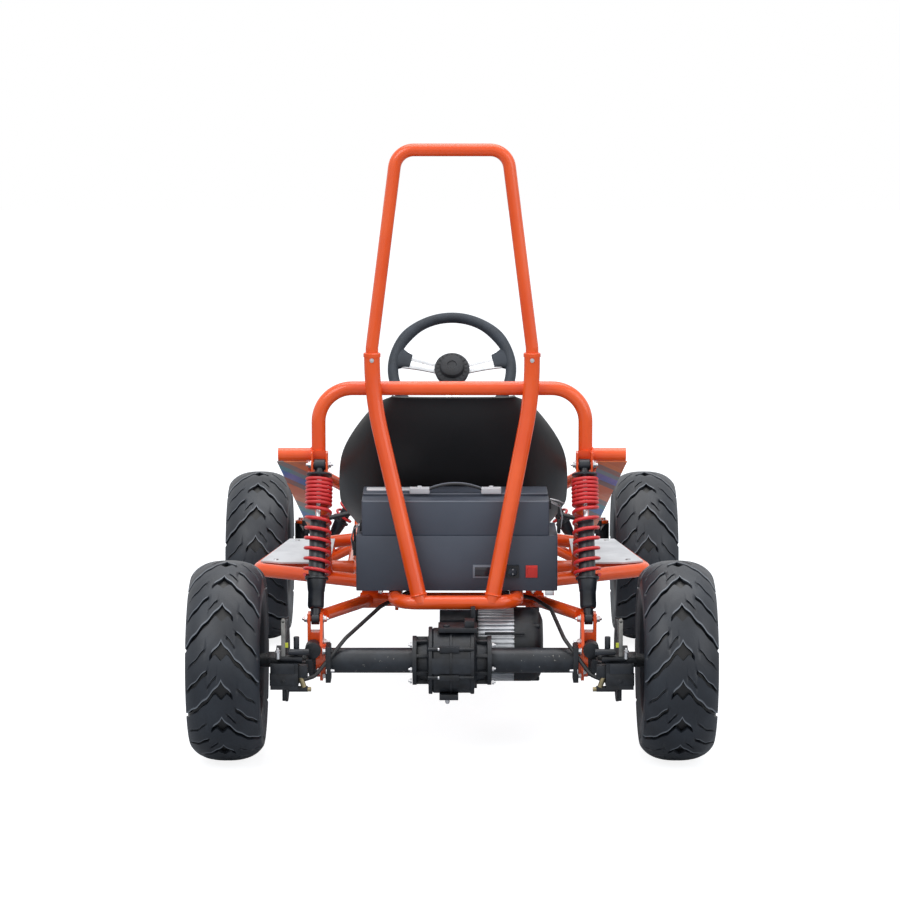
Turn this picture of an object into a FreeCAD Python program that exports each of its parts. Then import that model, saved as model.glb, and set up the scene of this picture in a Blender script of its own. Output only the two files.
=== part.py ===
# Electric off-road buggy with one seat, a tube frame, a live rear axle and lugged tyres.
# Millimetres. X points to the right, Y forward and Z up. The origin is on the ground,
# under the middle of the whole vehicle.
import FreeCAD, Part
import math
import os
import re

import Sketcher
from FreeCAD import Placement, Rotation, Vector

document = FreeCAD.newDocument("buggy")

# Driving dimensions: name, value, what it measures
SIZES = [
    ("wheelbase", 1040, "front axle to rear axle"),
    ("rear_axle_y", -565, "place of the rear axle"),
    ("axle_height", 175, "wheel centres above the ground, which is the tyre's radius"),
    ("rear_track_half", 392, "middle of a rear tyre from the middle plane"),
    ("front_track_half", 399, "middle of a front tyre from the middle plane"),
    ("tyre_width", 130, "section width"),
    ("tread_width", 116, "over the ends of the lugs"),
    ("lug_height", 7, "lugs above the carcass"),
    ("lug_count", 16, "chevrons round a tyre"),
    ("lug_thickness", 52, "across one arm of a chevron"),
    ("lug_sweep", 28, "degrees from the tip of a chevron to its ends"),
    ("bead_radius", 77, "inner edge of the tyre"),
    ("rim_width", 98, "over the rim flanges"),
    ("hub_radius", 27, "wheel hub"),
    ("rim_window", 9, "radius of the holes in the wheel disc"),
    ("tube_radius", 12.5, "main frame tubes"),
    ("cross_radius", 11, "cross tubes, side rails and bumper"),
    ("bend_radius", 42, "bends of the frame tubes"),
    ("frame_height", 266, "middle of the lower frame tubes"),
    ("rear_rail_half", 108, "lower rails at the rear"),
    ("rail_half", 185, "lower rails beside the seat"),
    ("front_rail_half", 120, "lower rails between the front wheels"),
    ("rear_loop_y", -505, "rear end of the lower frame"),
    ("bumper_reach", 740, "front of the bumper"),
    ("bumper_half", 165, "half the width of the bumper"),
    ("rear_shift", 7, "battery, rear loop and brace feet to the right of the middle"),
    ("seat_shift", 2.5, "seat to the right of the middle"),
    ("side_loop_reach", 362, "outermost tube of the side loops"),
    ("hoop_y", -430, "cross hoop"),
    ("hoop_height", 638, "bar of the cross hoop"),
    ("hoop_half", 237, "uprights of the cross hoop"),
    ("upright_foot_half", 232, "feet of the uprights on the side loops"),
    ("brace_top_half", 141, "sockets of the roll bar"),
    ("brace_foot_half", 63, "feet of the braces on the rear loop"),
    ("roll_bar_top", 1060, "bar of the roll bar"),
    ("roll_bar_half", 97, "legs of the roll bar at its top"),
    ("roll_tube_radius", 11.2, "roll bar tube"),
    ("socket_top", 704, "upper end of the sockets"),
    ("side_rail_height", 519.5, "rear end of the side rails"),
    ("side_rail_half", 306, "side rails at the rear"),
    ("dash_y", 300, "hoop that carries the steering column"),
    ("nose_y", 475, "hoop between the front wheels"),
    ("nose_half", 132, "half the width of the nose hoop"),
    ("nose_height", 398, "bar of the nose hoop"),
    ("sheet_thickness", 3, "floor, steps and trays"),
    ("panel_thickness", 2, "side and nose panels"),
    ("case_width", 333, "battery case"),
    ("case_depth", 138, "battery case"),
    ("case_top", 445, "top of the battery case"),
    ("tray_width", 358, "battery tray"),
    ("tray_height", 99, "battery tray"),
    ("case_rear_y", -459, "rear face of the battery case"),
    ("socket_bore", 8, "radius of the charging socket"),
    ("socket_flange", 22, "square flange of the charging socket"),
    ("socket_depth", 6, "charging socket in front of the tray's wall"),
    ("seat_width", 420, "widest part of the seat"),
    ("seat_top", 614, "top of the seat back"),
    ("seat_wall", 5, "thickness of the seat shell"),
    ("axle_tube_radius", 22, "rear axle tubes"),
    ("cable_radius", 3.5, "brake cables"),
    ("axle_tube_end", 246, "outer end of an axle tube"),
    ("shaft_radius", 12, "rear half shafts"),
    ("gear_half", 38, "half the width of the gear housing"),
    ("gear_radius", 57, "gear housing"),
    ("gear_flange", 43, "flanges of the gear housing"),
    ("gear_flange_half", 69, "outer faces of those flanges"),
    ("motor_radius", 66, "motor fins"),
    ("motor_y", -455, "middle of the motor"),
    ("motor_rise", 6, "middle of the motor above the axle"),
    ("motor_left", 44, "left face of the motor"),
    ("motor_length", 118, "motor with its end bell"),
    ("bell_length", 50, "end bell of the motor"),
    ("plate_half", 228, "axle plates of the trailing arms"),
    ("pivot_y", -300, "pivot tube of the trailing arms"),
    ("pivot_height", 232, "pivot tube of the trailing arms"),
    ("arm_pivot_half", 150, "trailing arms at their pivot"),
    ("arm_radius", 11, "trailing arm tubes"),
    ("damper_top_half", 234, "upper eyes of the rear dampers"),
    ("damper_foot_half", 239, "lower eyes of the rear dampers"),
    ("damper_top_y", -462, "upper eyes of the rear dampers"),
    ("damper_foot_y", -556, "lower eyes of the rear dampers"),
    ("damper_top_z", 506, "upper eyes of the rear dampers"),
    ("damper_foot_z", 247, "lower eyes of the rear dampers"),
    ("damper_body", 14.4, "radius of the rear damper bodies"),
    ("spring_radius", 21.4, "middle of the rear spring wire"),
    ("wire_radius", 3.2, "rear spring wire"),
    ("spring_turns", 13, "turns of a rear spring"),
    ("front_damper_body", 10.5, "radius of the front damper bodies"),
    ("front_spring_radius", 17.5, "middle of the front spring wire"),
    ("front_wire_radius", 3, "front spring wire"),
    ("front_spring_turns", 8, "turns of a front spring"),
    ("disc_half", 289, "brake discs"),
    ("disc_radius", 72, "brake discs"),
    ("disc_thickness", 4, "brake discs"),
    ("running_gap", 0.3, "between a turning piece and its seat"),
    ("kingpin_half", 313, "steering pivots"),
    ("kingpin_radius", 6, "pivot bolts"),
    ("barrel_radius", 14, "steering knuckle"),
    ("barrel_height", 104, "steering knuckle"),
    ("steering_arm", 82, "from the pivot to the tie rod's eye"),
    ("hub_cap", 33.5, "radius of the steering wheel's hub"),
    ("wheel_centre_y", 60, "steering wheel"),
    ("wheel_centre_z", 615, "steering wheel"),
    ("wheel_radius", 114, "middle of the steering wheel's grip"),
    ("grip_radius", 11.5, "steering wheel's grip"),
    ("column_slope", 36, "degrees by which the steering column falls to the front"),
    ("column_radius", 9, "steering column"),
    ("column_length", 440, "steering column"),
    ("pitman_reach", 50, "from the column to the tie rods"),
    ("tie_rod_radius", 5, "tie rods"),
]

sheet = document.addObject("Spreadsheet::Sheet", "sizes")
for row, (name, value, note) in enumerate(SIZES, start=1):
    sheet.set(f"A{row}", name)
    sheet.set(f"B{row}", str(value))
    sheet.set(f"C{row}", note)
    sheet.setAlias(f"B{row}", name)
document.recompute()

NAMES = {name for name, value, note in SIZES}
nodes = []


def size(name):
    """One driving dimension, read from the sheet."""
    return float(sheet.get(name))


def bound(text):
    """An expression in which each driving dimension is read from the sheet."""
    return re.sub(r"[a-z_]+", lambda found: "sizes." + found.group(0) if found.group(0) in NAMES
                  else found.group(0), str(text))


# Building helpers

AXES = {
    "X": Rotation(Vector(0, 1, 0), 90),
    "Y": Rotation(Vector(1, 0, 0), -90),
    "Z": Rotation(),
}


def put(piece, x, y, z):
    """Binds a piece's place to expressions."""
    for letter, text in zip("xyz", (x, y, z)):
        piece.setExpression("Placement.Base." + letter, bound(text))
    return piece


def rod(radius, length, x, y, z, axis="Z"):
    """A cylinder about its own middle."""
    piece = document.addObject("Part::Cylinder", "rod")
    piece.setExpression("Radius", bound(radius))
    piece.setExpression("Height", bound(length))
    piece.Placement = Placement(Vector(), AXES[axis])
    middle = {"X": x, "Y": y, "Z": z}
    middle[axis] = f"({middle[axis]}) - ({length}) / 2"
    return put(piece, middle["X"], middle["Y"], middle["Z"])


def block(width, depth, height, x, y, z):
    """A box about its own middle."""
    piece = document.addObject("Part::Box", "block")
    piece.setExpression("Length", bound(width))
    piece.setExpression("Width", bound(depth))
    piece.setExpression("Height", bound(height))
    return put(piece, f"({x}) - ({width}) / 2", f"({y}) - ({depth}) / 2", f"({z}) - ({height}) / 2")


def feature(shape, label="piece"):
    """A piece whose shape is worked out here from the sheet."""
    piece = document.addObject("Part::Feature", label)
    piece.Shape = shape
    return piece


def fused(pieces):
    """Several pieces welded or cast as one."""
    if len(pieces) == 1:
        return pieces[0]
    whole = document.addObject("Part::MultiFuse", "fused")
    whole.Shapes = pieces
    return whole


def cut(base, tools):
    """A piece with others taken away from it."""
    rest = document.addObject("Part::Cut", "cut")
    rest.Base = base
    rest.Tool = fused(tools)
    return rest


def mirrored(piece):
    """The same piece on the other side of the vehicle."""
    copy = document.addObject("Part::Mirroring", "mirrored")
    copy.Source = piece
    copy.Normal = Vector(1, 0, 0)
    return copy


def together(pieces):
    """Pieces that do not touch but belong to one sub-part."""
    group = document.addObject("Part::Compound", "group")
    group.Links = pieces
    return group


def node(label, piece):
    """Names a finished sub-part."""
    piece.Label = label
    nodes.append(piece)
    return piece


def pair(label, piece):
    """A sub-part of two like pieces, left and right."""
    return node(label, together([piece, mirrored(piece)]))


def path(points, bend):
    """Straight runs joined by tangent arcs."""
    corners = [Vector(*point) for point in points]
    edges = []
    start = corners[0]
    for before, corner, after in zip(corners, corners[1:], corners[2:]):
        into = (before - corner).normalize()
        out = (after - corner).normalize()
        half = into.getAngle(out) / 2
        reach = bend / math.tan(half)
        middle = (into + out).normalize()
        centre = corner + middle * (bend / math.sin(half))
        first = corner + into * reach
        last = corner + out * reach
        edges.append(Part.LineSegment(start, first).toShape())
        edges.append(Part.Arc(first, centre - middle * bend, last).toShape())
        start = last
    edges.append(Part.LineSegment(start, corners[-1]).toShape())
    return Part.Wire(edges)


def tube(points, radius, bend):
    """A bent round bar along a path."""
    line = path(points, bend)
    start = Vector(*points[0])
    ring = Part.Wire(Part.makeCircle(radius, start, Vector(*points[1]) - start))
    return line.makePipeShell([ring], True, False)


def coped(shape, others):
    """A tube whose ends are shaped to the tubes that they meet."""
    rest = shape
    for other in others:
        rest = rest.cut(other)
    return max(rest.Solids, key=lambda solid: solid.Volume)


def flipped(shape):
    """The mirror image of a shape."""
    return shape.mirror(Vector(), Vector(1, 0, 0))


def sketch(body, plane, outline):
    """A closed outline of straight lines, each corner bound to two expressions."""
    drawing = body.newObject("Sketcher::SketchObject", "outline")
    origin = [part for part in body.Origin.OriginFeatures if part.Role == plane][0]
    drawing.AttachmentSupport = [(origin, "")]
    drawing.MapMode = "FlatFace"
    count = len(outline)
    corners = [Vector(value_of(across), value_of(up), 0) for across, up in outline]
    for index in range(count):
        drawing.addGeometry(Part.LineSegment(corners[index], corners[(index + 1) % count]), False)
    for index in range(count):
        drawing.addConstraint(Sketcher.Constraint("Coincident", index, 2, (index + 1) % count, 1))
    for index, (across, up) in enumerate(outline):
        for kind, text, value in (("DistanceX", across, corners[index].x),
                                  ("DistanceY", up, corners[index].y)):
            number = drawing.addConstraint(Sketcher.Constraint(kind, -1, 1, index, 1, value))
            if re.search("[a-z]", str(text)):
                drawing.setExpression(f"Constraints[{number}]", bound(text))
    return drawing


def value_of(text):
    """The present value of an expression."""
    spare = document.addObject("Part::Box", "spare")
    spare.setExpression("Placement.Base.x", bound(text))
    spare.recompute()
    value = spare.Placement.Base.x
    document.removeObject(spare.Name)
    return value


def revolved(outline):
    """A turned piece about the X axis: corners are distance along the axis and radius."""
    body = document.addObject("PartDesign::Body", "turned")
    drawing = sketch(body, "XY_Plane", outline)
    turn = body.newObject("PartDesign::Revolution", "turn")
    turn.Profile = drawing
    turn.ReferenceAxis = (drawing, ["H_Axis"])
    turn.Angle = 360
    drawing.Visibility = False
    return body


def plate(plane, outline, thickness):
    """A flat piece about its middle plane."""
    body = document.addObject("PartDesign::Body", "plate")
    drawing = sketch(body, plane, outline)
    pad = body.newObject("PartDesign::Pad", "pad")
    pad.Profile = drawing
    pad.Midplane = True
    pad.setExpression("Length", bound(thickness))
    return body


# Lower frame: one bent rail loop with cross tubes, and the brackets of both suspensions

TUBE = size("tube_radius")
CROSS = size("cross_radius")
BEND = size("bend_radius")
FRAME = size("frame_height")
FRONT_AXLE = size("rear_axle_y") + size("wheelbase")
AXLE_Z = size("axle_height")
FLARE_REAR = -262
FLARE_FRONT = -150
TAPER_REAR = 318
TAPER_FRONT = 385
SEAT_FRONT_TUBE = 20
SEAT_REAR_TUBE = -130
RAIL_FRONT = size("bumper_reach") - 90
PIN_HALF = size("front_rail_half") + 22
PIN_Z = FRAME - 38


def cross_tube(y, half, z, radius=CROSS):
    """A straight tube across the frame."""
    return Part.makeCylinder(radius, 2 * half, Vector(-half, y, z), Vector(1, 0, 0))


def lower_frame():
    """The rails, their cross tubes, the pivot tube and the suspension brackets."""
    front = [
        (size("front_rail_half"), RAIL_FRONT - TUBE / 2, FRAME),
        (size("front_rail_half"), TAPER_FRONT, FRAME),
        (size("rail_half"), TAPER_REAR, FRAME),
        (size("rail_half"), FLARE_FRONT, FRAME),
    ]
    rear = [(size("rear_rail_half"), FLARE_REAR, FRAME), (size("rear_rail_half"), size("rear_loop_y"), FRAME)]
    shift = size("rear_shift")
    rails = tube(front + [(shift + x, y, z) for x, y, z in rear]
                 + [(shift - x, y, z) for x, y, z in reversed(rear)]
                 + [(-x, y, z) for x, y, z in reversed(front)], TUBE, BEND)
    welded = []
    welded.append(cross_tube(RAIL_FRONT, size("front_rail_half") + 22, FRAME, TUBE))
    for y, half in ((TAPER_FRONT + 5, size("front_rail_half")), (FLARE_REAR - 20, size("rear_rail_half"))):
        welded.append(cross_tube(y, half, FRAME))
    for y in (SEAT_FRONT_TUBE, SEAT_REAR_TUBE):
        welded.append(cross_tube(y, size("rail_half"), FRAME + TUBE - CROSS))
    welded.append(cross_tube(size("pivot_y"), size("arm_pivot_half") + 18, size("pivot_height"), TUBE))
    for side in (-1, 1):
        drop = FRAME - size("pivot_height") + 16
        bracket = Part.makeBox(6, 44, drop, Vector(shift + side * size("rear_rail_half") - 3,
                                                   size("pivot_y") - 22, FRAME - drop))
        welded.append(bracket)
        for y in (FRONT_AXLE - 57, FRONT_AXLE + 51):
            near = side * size("front_rail_half")
            far = side * (PIN_HALF + 14)
            ear = Part.makeBox(abs(far - near), 6, FRAME - PIN_Z + 12,
                               Vector(min(near, far), y, PIN_Z - 12))
            welded.append(ear)
        welded.append(Part.makeCylinder(size("kingpin_radius"), 122,
                                        Vector(side * PIN_HALF, FRONT_AXLE - 61, PIN_Z), Vector(0, 1, 0)))
    return rails.multiFuse(welded).removeSplitter()


FRAME_SHAPE = lower_frame()
node("lower_frame", feature(FRAME_SHAPE))

# Side loops: bent tubes that carry the steps beside the seat

LOOP_REACH = size("side_loop_reach")
STEP_REAR = -183
STEP_FRONT = 62
STEP_FRONT_HALF = LOOP_REACH - 46
LOOP_RUN = 150


def side_loop():
    """The left loop with its inner cross tube."""
    bent = tube([
        (-size("rear_rail_half"), STEP_REAR - LOOP_RUN, FRAME),
        (-LOOP_REACH, STEP_REAR, FRAME),
        (-STEP_FRONT_HALF, STEP_FRONT, FRAME),
        (-size("rail_half"), STEP_FRONT + 90, FRAME),
    ], TUBE, 26)
    inner = Part.makeCylinder(TUBE, LOOP_REACH - size("rail_half"),
                              Vector(-size("rail_half"), STEP_REAR + 25, FRAME), Vector(-1, 0, 0))
    return bent.fuse(coped(inner, [bent])).removeSplitter()


LEFT_LOOP = side_loop()
LOOPS = [coped(loop, [FRAME_SHAPE]) for loop in (LEFT_LOOP, flipped(LEFT_LOOP))]
node("side_loops", feature(Part.makeCompound(LOOPS)))

# Cross hoop: bar behind the seat, its uprights and the upper damper brackets

HOOP_Y = size("hoop_y")
HOOP_BEND = 60


def cross_hoop():
    """The hoop, coped to the side loops on which it stands."""
    slant = (size("upright_foot_half") - size("rear_rail_half")) / (LOOP_REACH - size("rear_rail_half"))
    half = [
        (-size("upright_foot_half"), STEP_REAR - LOOP_RUN * (1 - slant), FRAME),
        (-size("hoop_half"), HOOP_Y, size("damper_top_z") + 2),
        (-size("hoop_half"), HOOP_Y, size("hoop_height")),
    ]
    bar = tube(half + [(-x, y, z) for x, y, z in reversed(half)], TUBE, HOOP_BEND)
    welded = []
    back = HOOP_Y - TUBE - 3.5
    low = size("damper_top_z") - 11
    for side in (-1, 1):
        middle = side * size("damper_top_half")
        for x in (middle - 14.5, middle + 11.5):
            welded.append(Part.makeBox(3, back - size("damper_top_y") + 12, 33,
                                       Vector(x, size("damper_top_y") - 12, low)))
        welded.append(Part.makeBox(29, 4, 33, Vector(middle - 14.5, back, low)))
        welded.append(Part.makeCylinder(5, 40, Vector(middle - 20, size("damper_top_y"),
                                                      size("damper_top_z")), Vector(1, 0, 0)))
    return coped(bar.multiFuse(welded).removeSplitter(), LOOPS)


HOOP_SHAPE = cross_hoop()
node("cross_hoop", feature(HOOP_SHAPE))

# Braces from the rear loop up to the sockets, and the roll bar that stands in them

BRACE_Y = HOOP_Y - 2 * TUBE - 1.9
BRACE_BEND_Z = size("hoop_height") - 10
SOCKET_DEPTH = 50


def brace(side):
    """A brace: upright in its upper end, which is the roll bar's socket, then down to the loop."""
    top = (side * size("brace_top_half"), BRACE_Y, size("socket_top"))
    bend = (side * size("brace_top_half"), BRACE_Y, BRACE_BEND_Z)
    foot = (side * size("brace_foot_half") + size("rear_shift"), size("rear_loop_y"), FRAME)
    bent = tube([top, bend, foot], TUBE + 1.5, 500)
    bore = Part.makeCylinder(size("roll_tube_radius") + size("running_gap"), SOCKET_DEPTH + 1,
                             Vector(top[0], top[1], top[2] - SOCKET_DEPTH))
    return coped(bent, [FRAME_SHAPE, HOOP_SHAPE]).cut(bore)


node("rear_braces", feature(Part.makeCompound([brace(-1), brace(1)])))


def roll_bar():
    """The roll bar, with its feet in the sockets."""
    foot = size("socket_top") - SOCKET_DEPTH
    half = [
        (-size("brace_top_half"), BRACE_Y, foot),
        (-size("brace_top_half"), BRACE_Y, size("socket_top") + 9),
        (-size("roll_bar_half"), BRACE_Y + 6, size("roll_bar_top")),
    ]
    return tube(half + [(-x, y, z) for x, y, z in reversed(half)], size("roll_tube_radius"), 34)


node("roll_bar", feature(roll_bar()))

# Hoops at the dash and the nose

SLOPE = math.radians(size("column_slope"))
DOWN = Vector(0, math.cos(SLOPE), -math.sin(SLOPE))
WHEEL_CENTRE = Vector(0, size("wheel_centre_y"), size("wheel_centre_z"))
DASH_Y = size("dash_y")
COLUMN_AT_DASH = WHEEL_CENTRE + DOWN * ((DASH_Y - WHEEL_CENTRE.y) / DOWN.y)
DASH_Z = COLUMN_AT_DASH.z - (size("column_radius") + TUBE + 5) / math.cos(SLOPE)


def hoop(y, half, height):
    """An upright hoop on the lower rails."""
    bar = tube([(-half, y, FRAME), (-half, y, height), (half, y, height), (half, y, FRAME)], TUBE, 36)
    return coped(bar, [FRAME_SHAPE])


DASH_SHAPE = hoop(DASH_Y, size("rail_half"), DASH_Z)
COLUMN_BUSH = Part.makeCylinder(size("column_radius") + 6, 44, COLUMN_AT_DASH - DOWN * 22, DOWN)
COLUMN_BORE = Part.makeCylinder(size("column_radius") + size("running_gap"), 60,
                                COLUMN_AT_DASH - DOWN * 30, DOWN)
DASH_SHAPE = DASH_SHAPE.fuse(COLUMN_BUSH).cut(COLUMN_BORE)
node("dash_hoop", feature(DASH_SHAPE))


def nose_hoop():
    """The hoop between the front wheels with the upper damper ears."""
    bar = tube([(-size("front_rail_half"), size("nose_y"), FRAME),
                (-size("nose_half"), size("nose_y"), size("nose_height")),
                (size("nose_half"), size("nose_y"), size("nose_height")),
                (size("front_rail_half"), size("nose_y"), FRAME)], TUBE, 30)
    ears = []
    for side in (-1, 1):
        for y in (size("nose_y") - 14, size("nose_y") + 11):
            start = min(side * (size("nose_half") - 18), side * (size("nose_half") + 36))
            ears.append(Part.makeBox(54, 3, 24, Vector(start, y, size("nose_height") - 26)))
        ears.append(Part.makeCylinder(4, 34, Vector(side * (size("nose_half") + 26), size("nose_y") - 17,
                                                    size("nose_height") - 16), Vector(0, 1, 0)))
    return coped(bar.multiFuse(ears), [FRAME_SHAPE])


NOSE_SHAPE = nose_hoop()
node("nose_hoop", feature(NOSE_SHAPE))

# Side rails from the cross hoop down to the dash hoop

RAIL_FOOT_DROP = 79
SLEEVE_WALL = 0.6


def side_rail(side):
    """One rail let into its sleeve, coped at both ends."""
    height = size("side_rail_height")
    sleeve = Part.makeCylinder(CROSS + SLEEVE_WALL, size("side_rail_half") - size("hoop_half") + 3,
                               Vector(side * size("hoop_half"), HOOP_Y, height), Vector(side, 0, 0))
    start = Vector(side * (size("side_rail_half") - 10), HOOP_Y, height)
    end = Vector(side * size("rail_half"), DASH_Y, DASH_Z - RAIL_FOOT_DROP)
    straight = Part.makeCylinder(CROSS, (end - start).Length, start, end - start)
    return coped(sleeve.fuse(straight), [HOOP_SHAPE, DASH_SHAPE])


LEFT_RAIL = side_rail(-1)
node("side_rails", feature(Part.makeCompound([LEFT_RAIL, side_rail(1)])))

# Front bumper: a bent tube with two stays on the lower rails


def bumper():
    """The bumper loop with its upper bar."""
    front = size("bumper_reach") - CROSS
    half = size("bumper_half")
    near = size("front_rail_half") + 8
    loop = tube([(-near, RAIL_FRONT, FRAME), (-half, front, FRAME), (half, front, FRAME),
                 (near, RAIL_FRONT, FRAME)], CROSS, 26)
    upper = tube([(-half + 35, front, FRAME), (-half + 35, front - 30, FRAME + 92),
                  (half - 35, front - 30, FRAME + 92), (half - 35, front, FRAME)], CROSS - 1.5, 26)
    return coped(loop.fuse(upper.cut(loop).Solids[0]).removeSplitter(), [FRAME_SHAPE])


BUMPER_SHAPE = bumper()
node("front_bumper", feature(BUMPER_SHAPE))

# Sheets: floor pan, steps, side panels and nose panel

SHEET = size("sheet_thickness")
FLOOR_REAR = 40


floor_corners = [
    ("rail_half", FLOOR_REAR), ("rail_half", TAPER_REAR),
    ("front_rail_half", TAPER_FRONT), ("front_rail_half", "bumper_reach - 90"),
    ("-front_rail_half", "bumper_reach - 90"), ("-front_rail_half", TAPER_FRONT),
    ("-rail_half", TAPER_REAR), ("-rail_half", FLOOR_REAR),
]
node("floor_pan", put(plate("XY_Plane", floor_corners, "sheet_thickness"), 0, 0,
                      "frame_height - tube_radius - sheet_thickness / 2"))

step_corners = [
    ("4 - side_loop_reach", STEP_REAR + 8), ("46 - side_loop_reach", STEP_FRONT + 2),
    ("4 - upright_foot_half", STEP_FRONT + 2), ("4 - upright_foot_half", STEP_REAR - 10),
    ("44 - side_loop_reach", STEP_REAR - 10),
]
pair("step_plates", put(plate("XY_Plane", step_corners, "sheet_thickness"), 0, 0,
                        "frame_height + tube_radius + sheet_thickness / 2"))


PANEL_LIFT = 75.9


def side_panel():
    """The left panel: a thin sheet that hangs from the sleeve of the side rail, clear above the side loop."""
    top = size("side_rail_height") - CROSS - SLEEVE_WALL - 1
    low = FRAME + PANEL_LIFT
    half = size("seat_width") / 2
    corners = [
        Vector(-size("side_rail_half") - 5, HOOP_Y - 6, top),
        Vector(-half - 49, HOOP_Y - 6, top),
        Vector(-half - 41, HOOP_Y + 270, low),
        Vector(-half - 57, HOOP_Y + 290, low - 3),
    ]
    normal = (corners[1] - corners[0]).cross(corners[2] - corners[0]).normalize()
    corners[3] = corners[3] - normal * (corners[3] - corners[0]).dot(normal)
    edge = Part.makePolygon(corners + corners[:1])
    return Part.Face(edge).extrude(normal * size("panel_thickness"))


LEFT_PANEL = side_panel()
node("side_panels", feature(Part.makeCompound([LEFT_PANEL, flipped(LEFT_PANEL)])))


def nose_panel():
    """A bent sheet from the nose hoop down to the bumper."""
    front = size("bumper_reach") - 2 * CROSS - 26
    high = size("nose_height") + TUBE + size("panel_thickness") + 0.3
    side = [Vector(0, size("nose_y") - 12, high), Vector(0, size("nose_y") + 20, high),
            Vector(0, front, FRAME + 92 + CROSS + 2)]
    lower = [point - Vector(0, 0, size("panel_thickness")) for point in reversed(side)]
    edge = Part.makePolygon(side + lower + side[:1])
    width = 2 * size("nose_half") - 20
    return Part.Face(edge).extrude(Vector(width, 0, 0)).translated(Vector(-width / 2, 0, 0))


node("nose_panel", feature(nose_panel()))

# Seat: a shell between two smooth surfaces, each drawn through cross sections of the bucket

SEAT_WALL = size("seat_wall")
SEAT_LOW = FRAME + TUBE
SEAT_HEIGHT = 335.5
SEAT_COLUMNS = 12
SEAT_SECTIONS = [
    # Down the middle: y and height; along the lip: y and height; half widths as shares of the widest
    (96, 12, 97, 55, 0.63, 0.88),
    (20, 3, 20, 73, 0.68, 0.94),
    (-80, 4.5, -74, 93, 0.70, 0.98),
    (-176, 6, -146, 119, 0.70, 1),
    (-244, 35, -186, 157, 0.74, 1),
    (-276, 91, -210, 203, 0.79, 0.98),
    (-290, 165, -234, 245, 0.82, 0.90),
    (-309, 241, -262, 283, 0.78, 0.78),
    (-326, 299, -296, 317, 0.66, 0.63),
    (-336, 331, -324, 332, 0.48, 0.53),
]


def seat_point(section, across):
    """A point on the middle of the wall; across runs from -1 at the left lip to 1."""
    centre_y, centre_z, lip_y, lip_z, centre_share, lip_share = section
    turn = abs(across) ** 1.1 * math.pi / 2
    climb = (1 - math.cos(turn)) ** 1.5
    share = (centre_share + (lip_share - centre_share) * climb) * math.sin(turn) ** 0.82
    tall = (size("seat_top") - SEAT_LOW) / SEAT_HEIGHT
    return Vector(math.copysign(share, across) * size("seat_width") / 2 + size("seat_shift"),
                  centre_y + (lip_y - centre_y) * climb,
                  SEAT_LOW + tall * (centre_z + (lip_z - centre_z) * climb))


def seat_surface(rows, offset):
    """The smooth surface at a distance to one side of the wall's middle."""
    grid = []
    for index, row in enumerate(rows):
        before = rows[max(index - 1, 0)]
        after = rows[min(index + 1, len(rows) - 1)]
        line = []
        for column, point in enumerate(row):
            along = after[column] - before[column]
            over = row[min(column + 1, SEAT_COLUMNS)] - row[max(column - 1, 0)]
            line.append(point + along.cross(over).normalize() * offset)
        grid.append(line)
    surface = Part.BSplineSurface()
    surface.interpolate(grid)
    return surface.toShape()


def seat():
    """The shell: two surfaces joined by a narrow edge all round."""
    rows = [[seat_point(section, 2 * column / SEAT_COLUMNS - 1) for column in range(SEAT_COLUMNS + 1)]
            for section in SEAT_SECTIONS]
    inner = seat_surface(rows, SEAT_WALL / 2)
    outer = seat_surface(rows, -SEAT_WALL / 2)
    faces = [inner, outer]
    for first in inner.Edges:
        middle = first.CenterOfMass
        second = min(outer.Edges, key=lambda edge: edge.CenterOfMass.distanceToPoint(middle))
        faces.append(Part.makeRuledSurface(first, second))
    shell = Part.makeCompound(faces)
    shell.sewShape(0.01)
    solid = Part.makeSolid(shell.Shells[0])
    if solid.Volume < 0:
        solid.reverse()
    return solid


node("seat", feature(seat()))

# Battery: an open tray on the frame, a case with a lid, a handle and two latches

CASE_MIDDLE_Y = "(case_rear_y + case_depth / 2)"
TRAY_BASE = "(frame_height + tube_radius + 0.5)"
tray_outer = block("tray_width", "case_depth + 2 * sheet_thickness + 1", "tray_height",
                   "rear_shift + 1.5", CASE_MIDDLE_Y, f"{TRAY_BASE} + tray_height / 2")
tray_inner = block("tray_width - 2 * sheet_thickness", "case_depth + 1", "tray_height",
                   "rear_shift + 1.5", CASE_MIDDLE_Y, f"{TRAY_BASE} + tray_height / 2 + sheet_thickness")
node("battery_tray", cut(tray_outer, [tray_inner]))

CASE_BASE = f"({TRAY_BASE} + sheet_thickness + 0.3)"
case_body = block("case_width", "case_depth - 1", f"case_top - 28 - {CASE_BASE}", "rear_shift - 1",
                  CASE_MIDDLE_Y, f"(case_top - 28 + {CASE_BASE}) / 2")
case_lid = block("case_width + 5", "case_depth + 2", 28, "rear_shift - 1", CASE_MIDDLE_Y, "case_top - 14")
case_spacer = block("tray_width - 2 * sheet_thickness - 2", "case_depth - 4", "tray_height - 16",
                    "rear_shift + 1.5", CASE_MIDDLE_Y, f"{CASE_BASE} + tray_height / 2 - 8")
node("battery_case", fused([case_body, case_lid, case_spacer]))


def battery_handle():
    """A bowed grip that stands on the lid."""
    y = size("case_rear_y") + 59
    z = size("case_top")
    middle = size("rear_shift") - 1.5
    return tube([(middle - 46, y, z), (middle - 36, y, z + 16.5), (middle + 36, y, z + 16.5),
                 (middle + 46, y, z)], 4.5, 8).cut(Part.makeBox(400, 40, 40, Vector(-200, y - 20, z - 40)))


handle = feature(battery_handle())
latch_left = block(5, 24, 34, "rear_shift + 1.5 - tray_width / 2 - 2.8", "case_rear_y + 30",
                   f"{TRAY_BASE} + tray_height")
latch_right = block(5, 24, 72, "rear_shift + 1.5 + tray_width / 2 + 2.8", "case_rear_y + 30",
                    f"{TRAY_BASE} + tray_height + 18")
node("battery_fittings", together([handle, latch_left, latch_right]))

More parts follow.
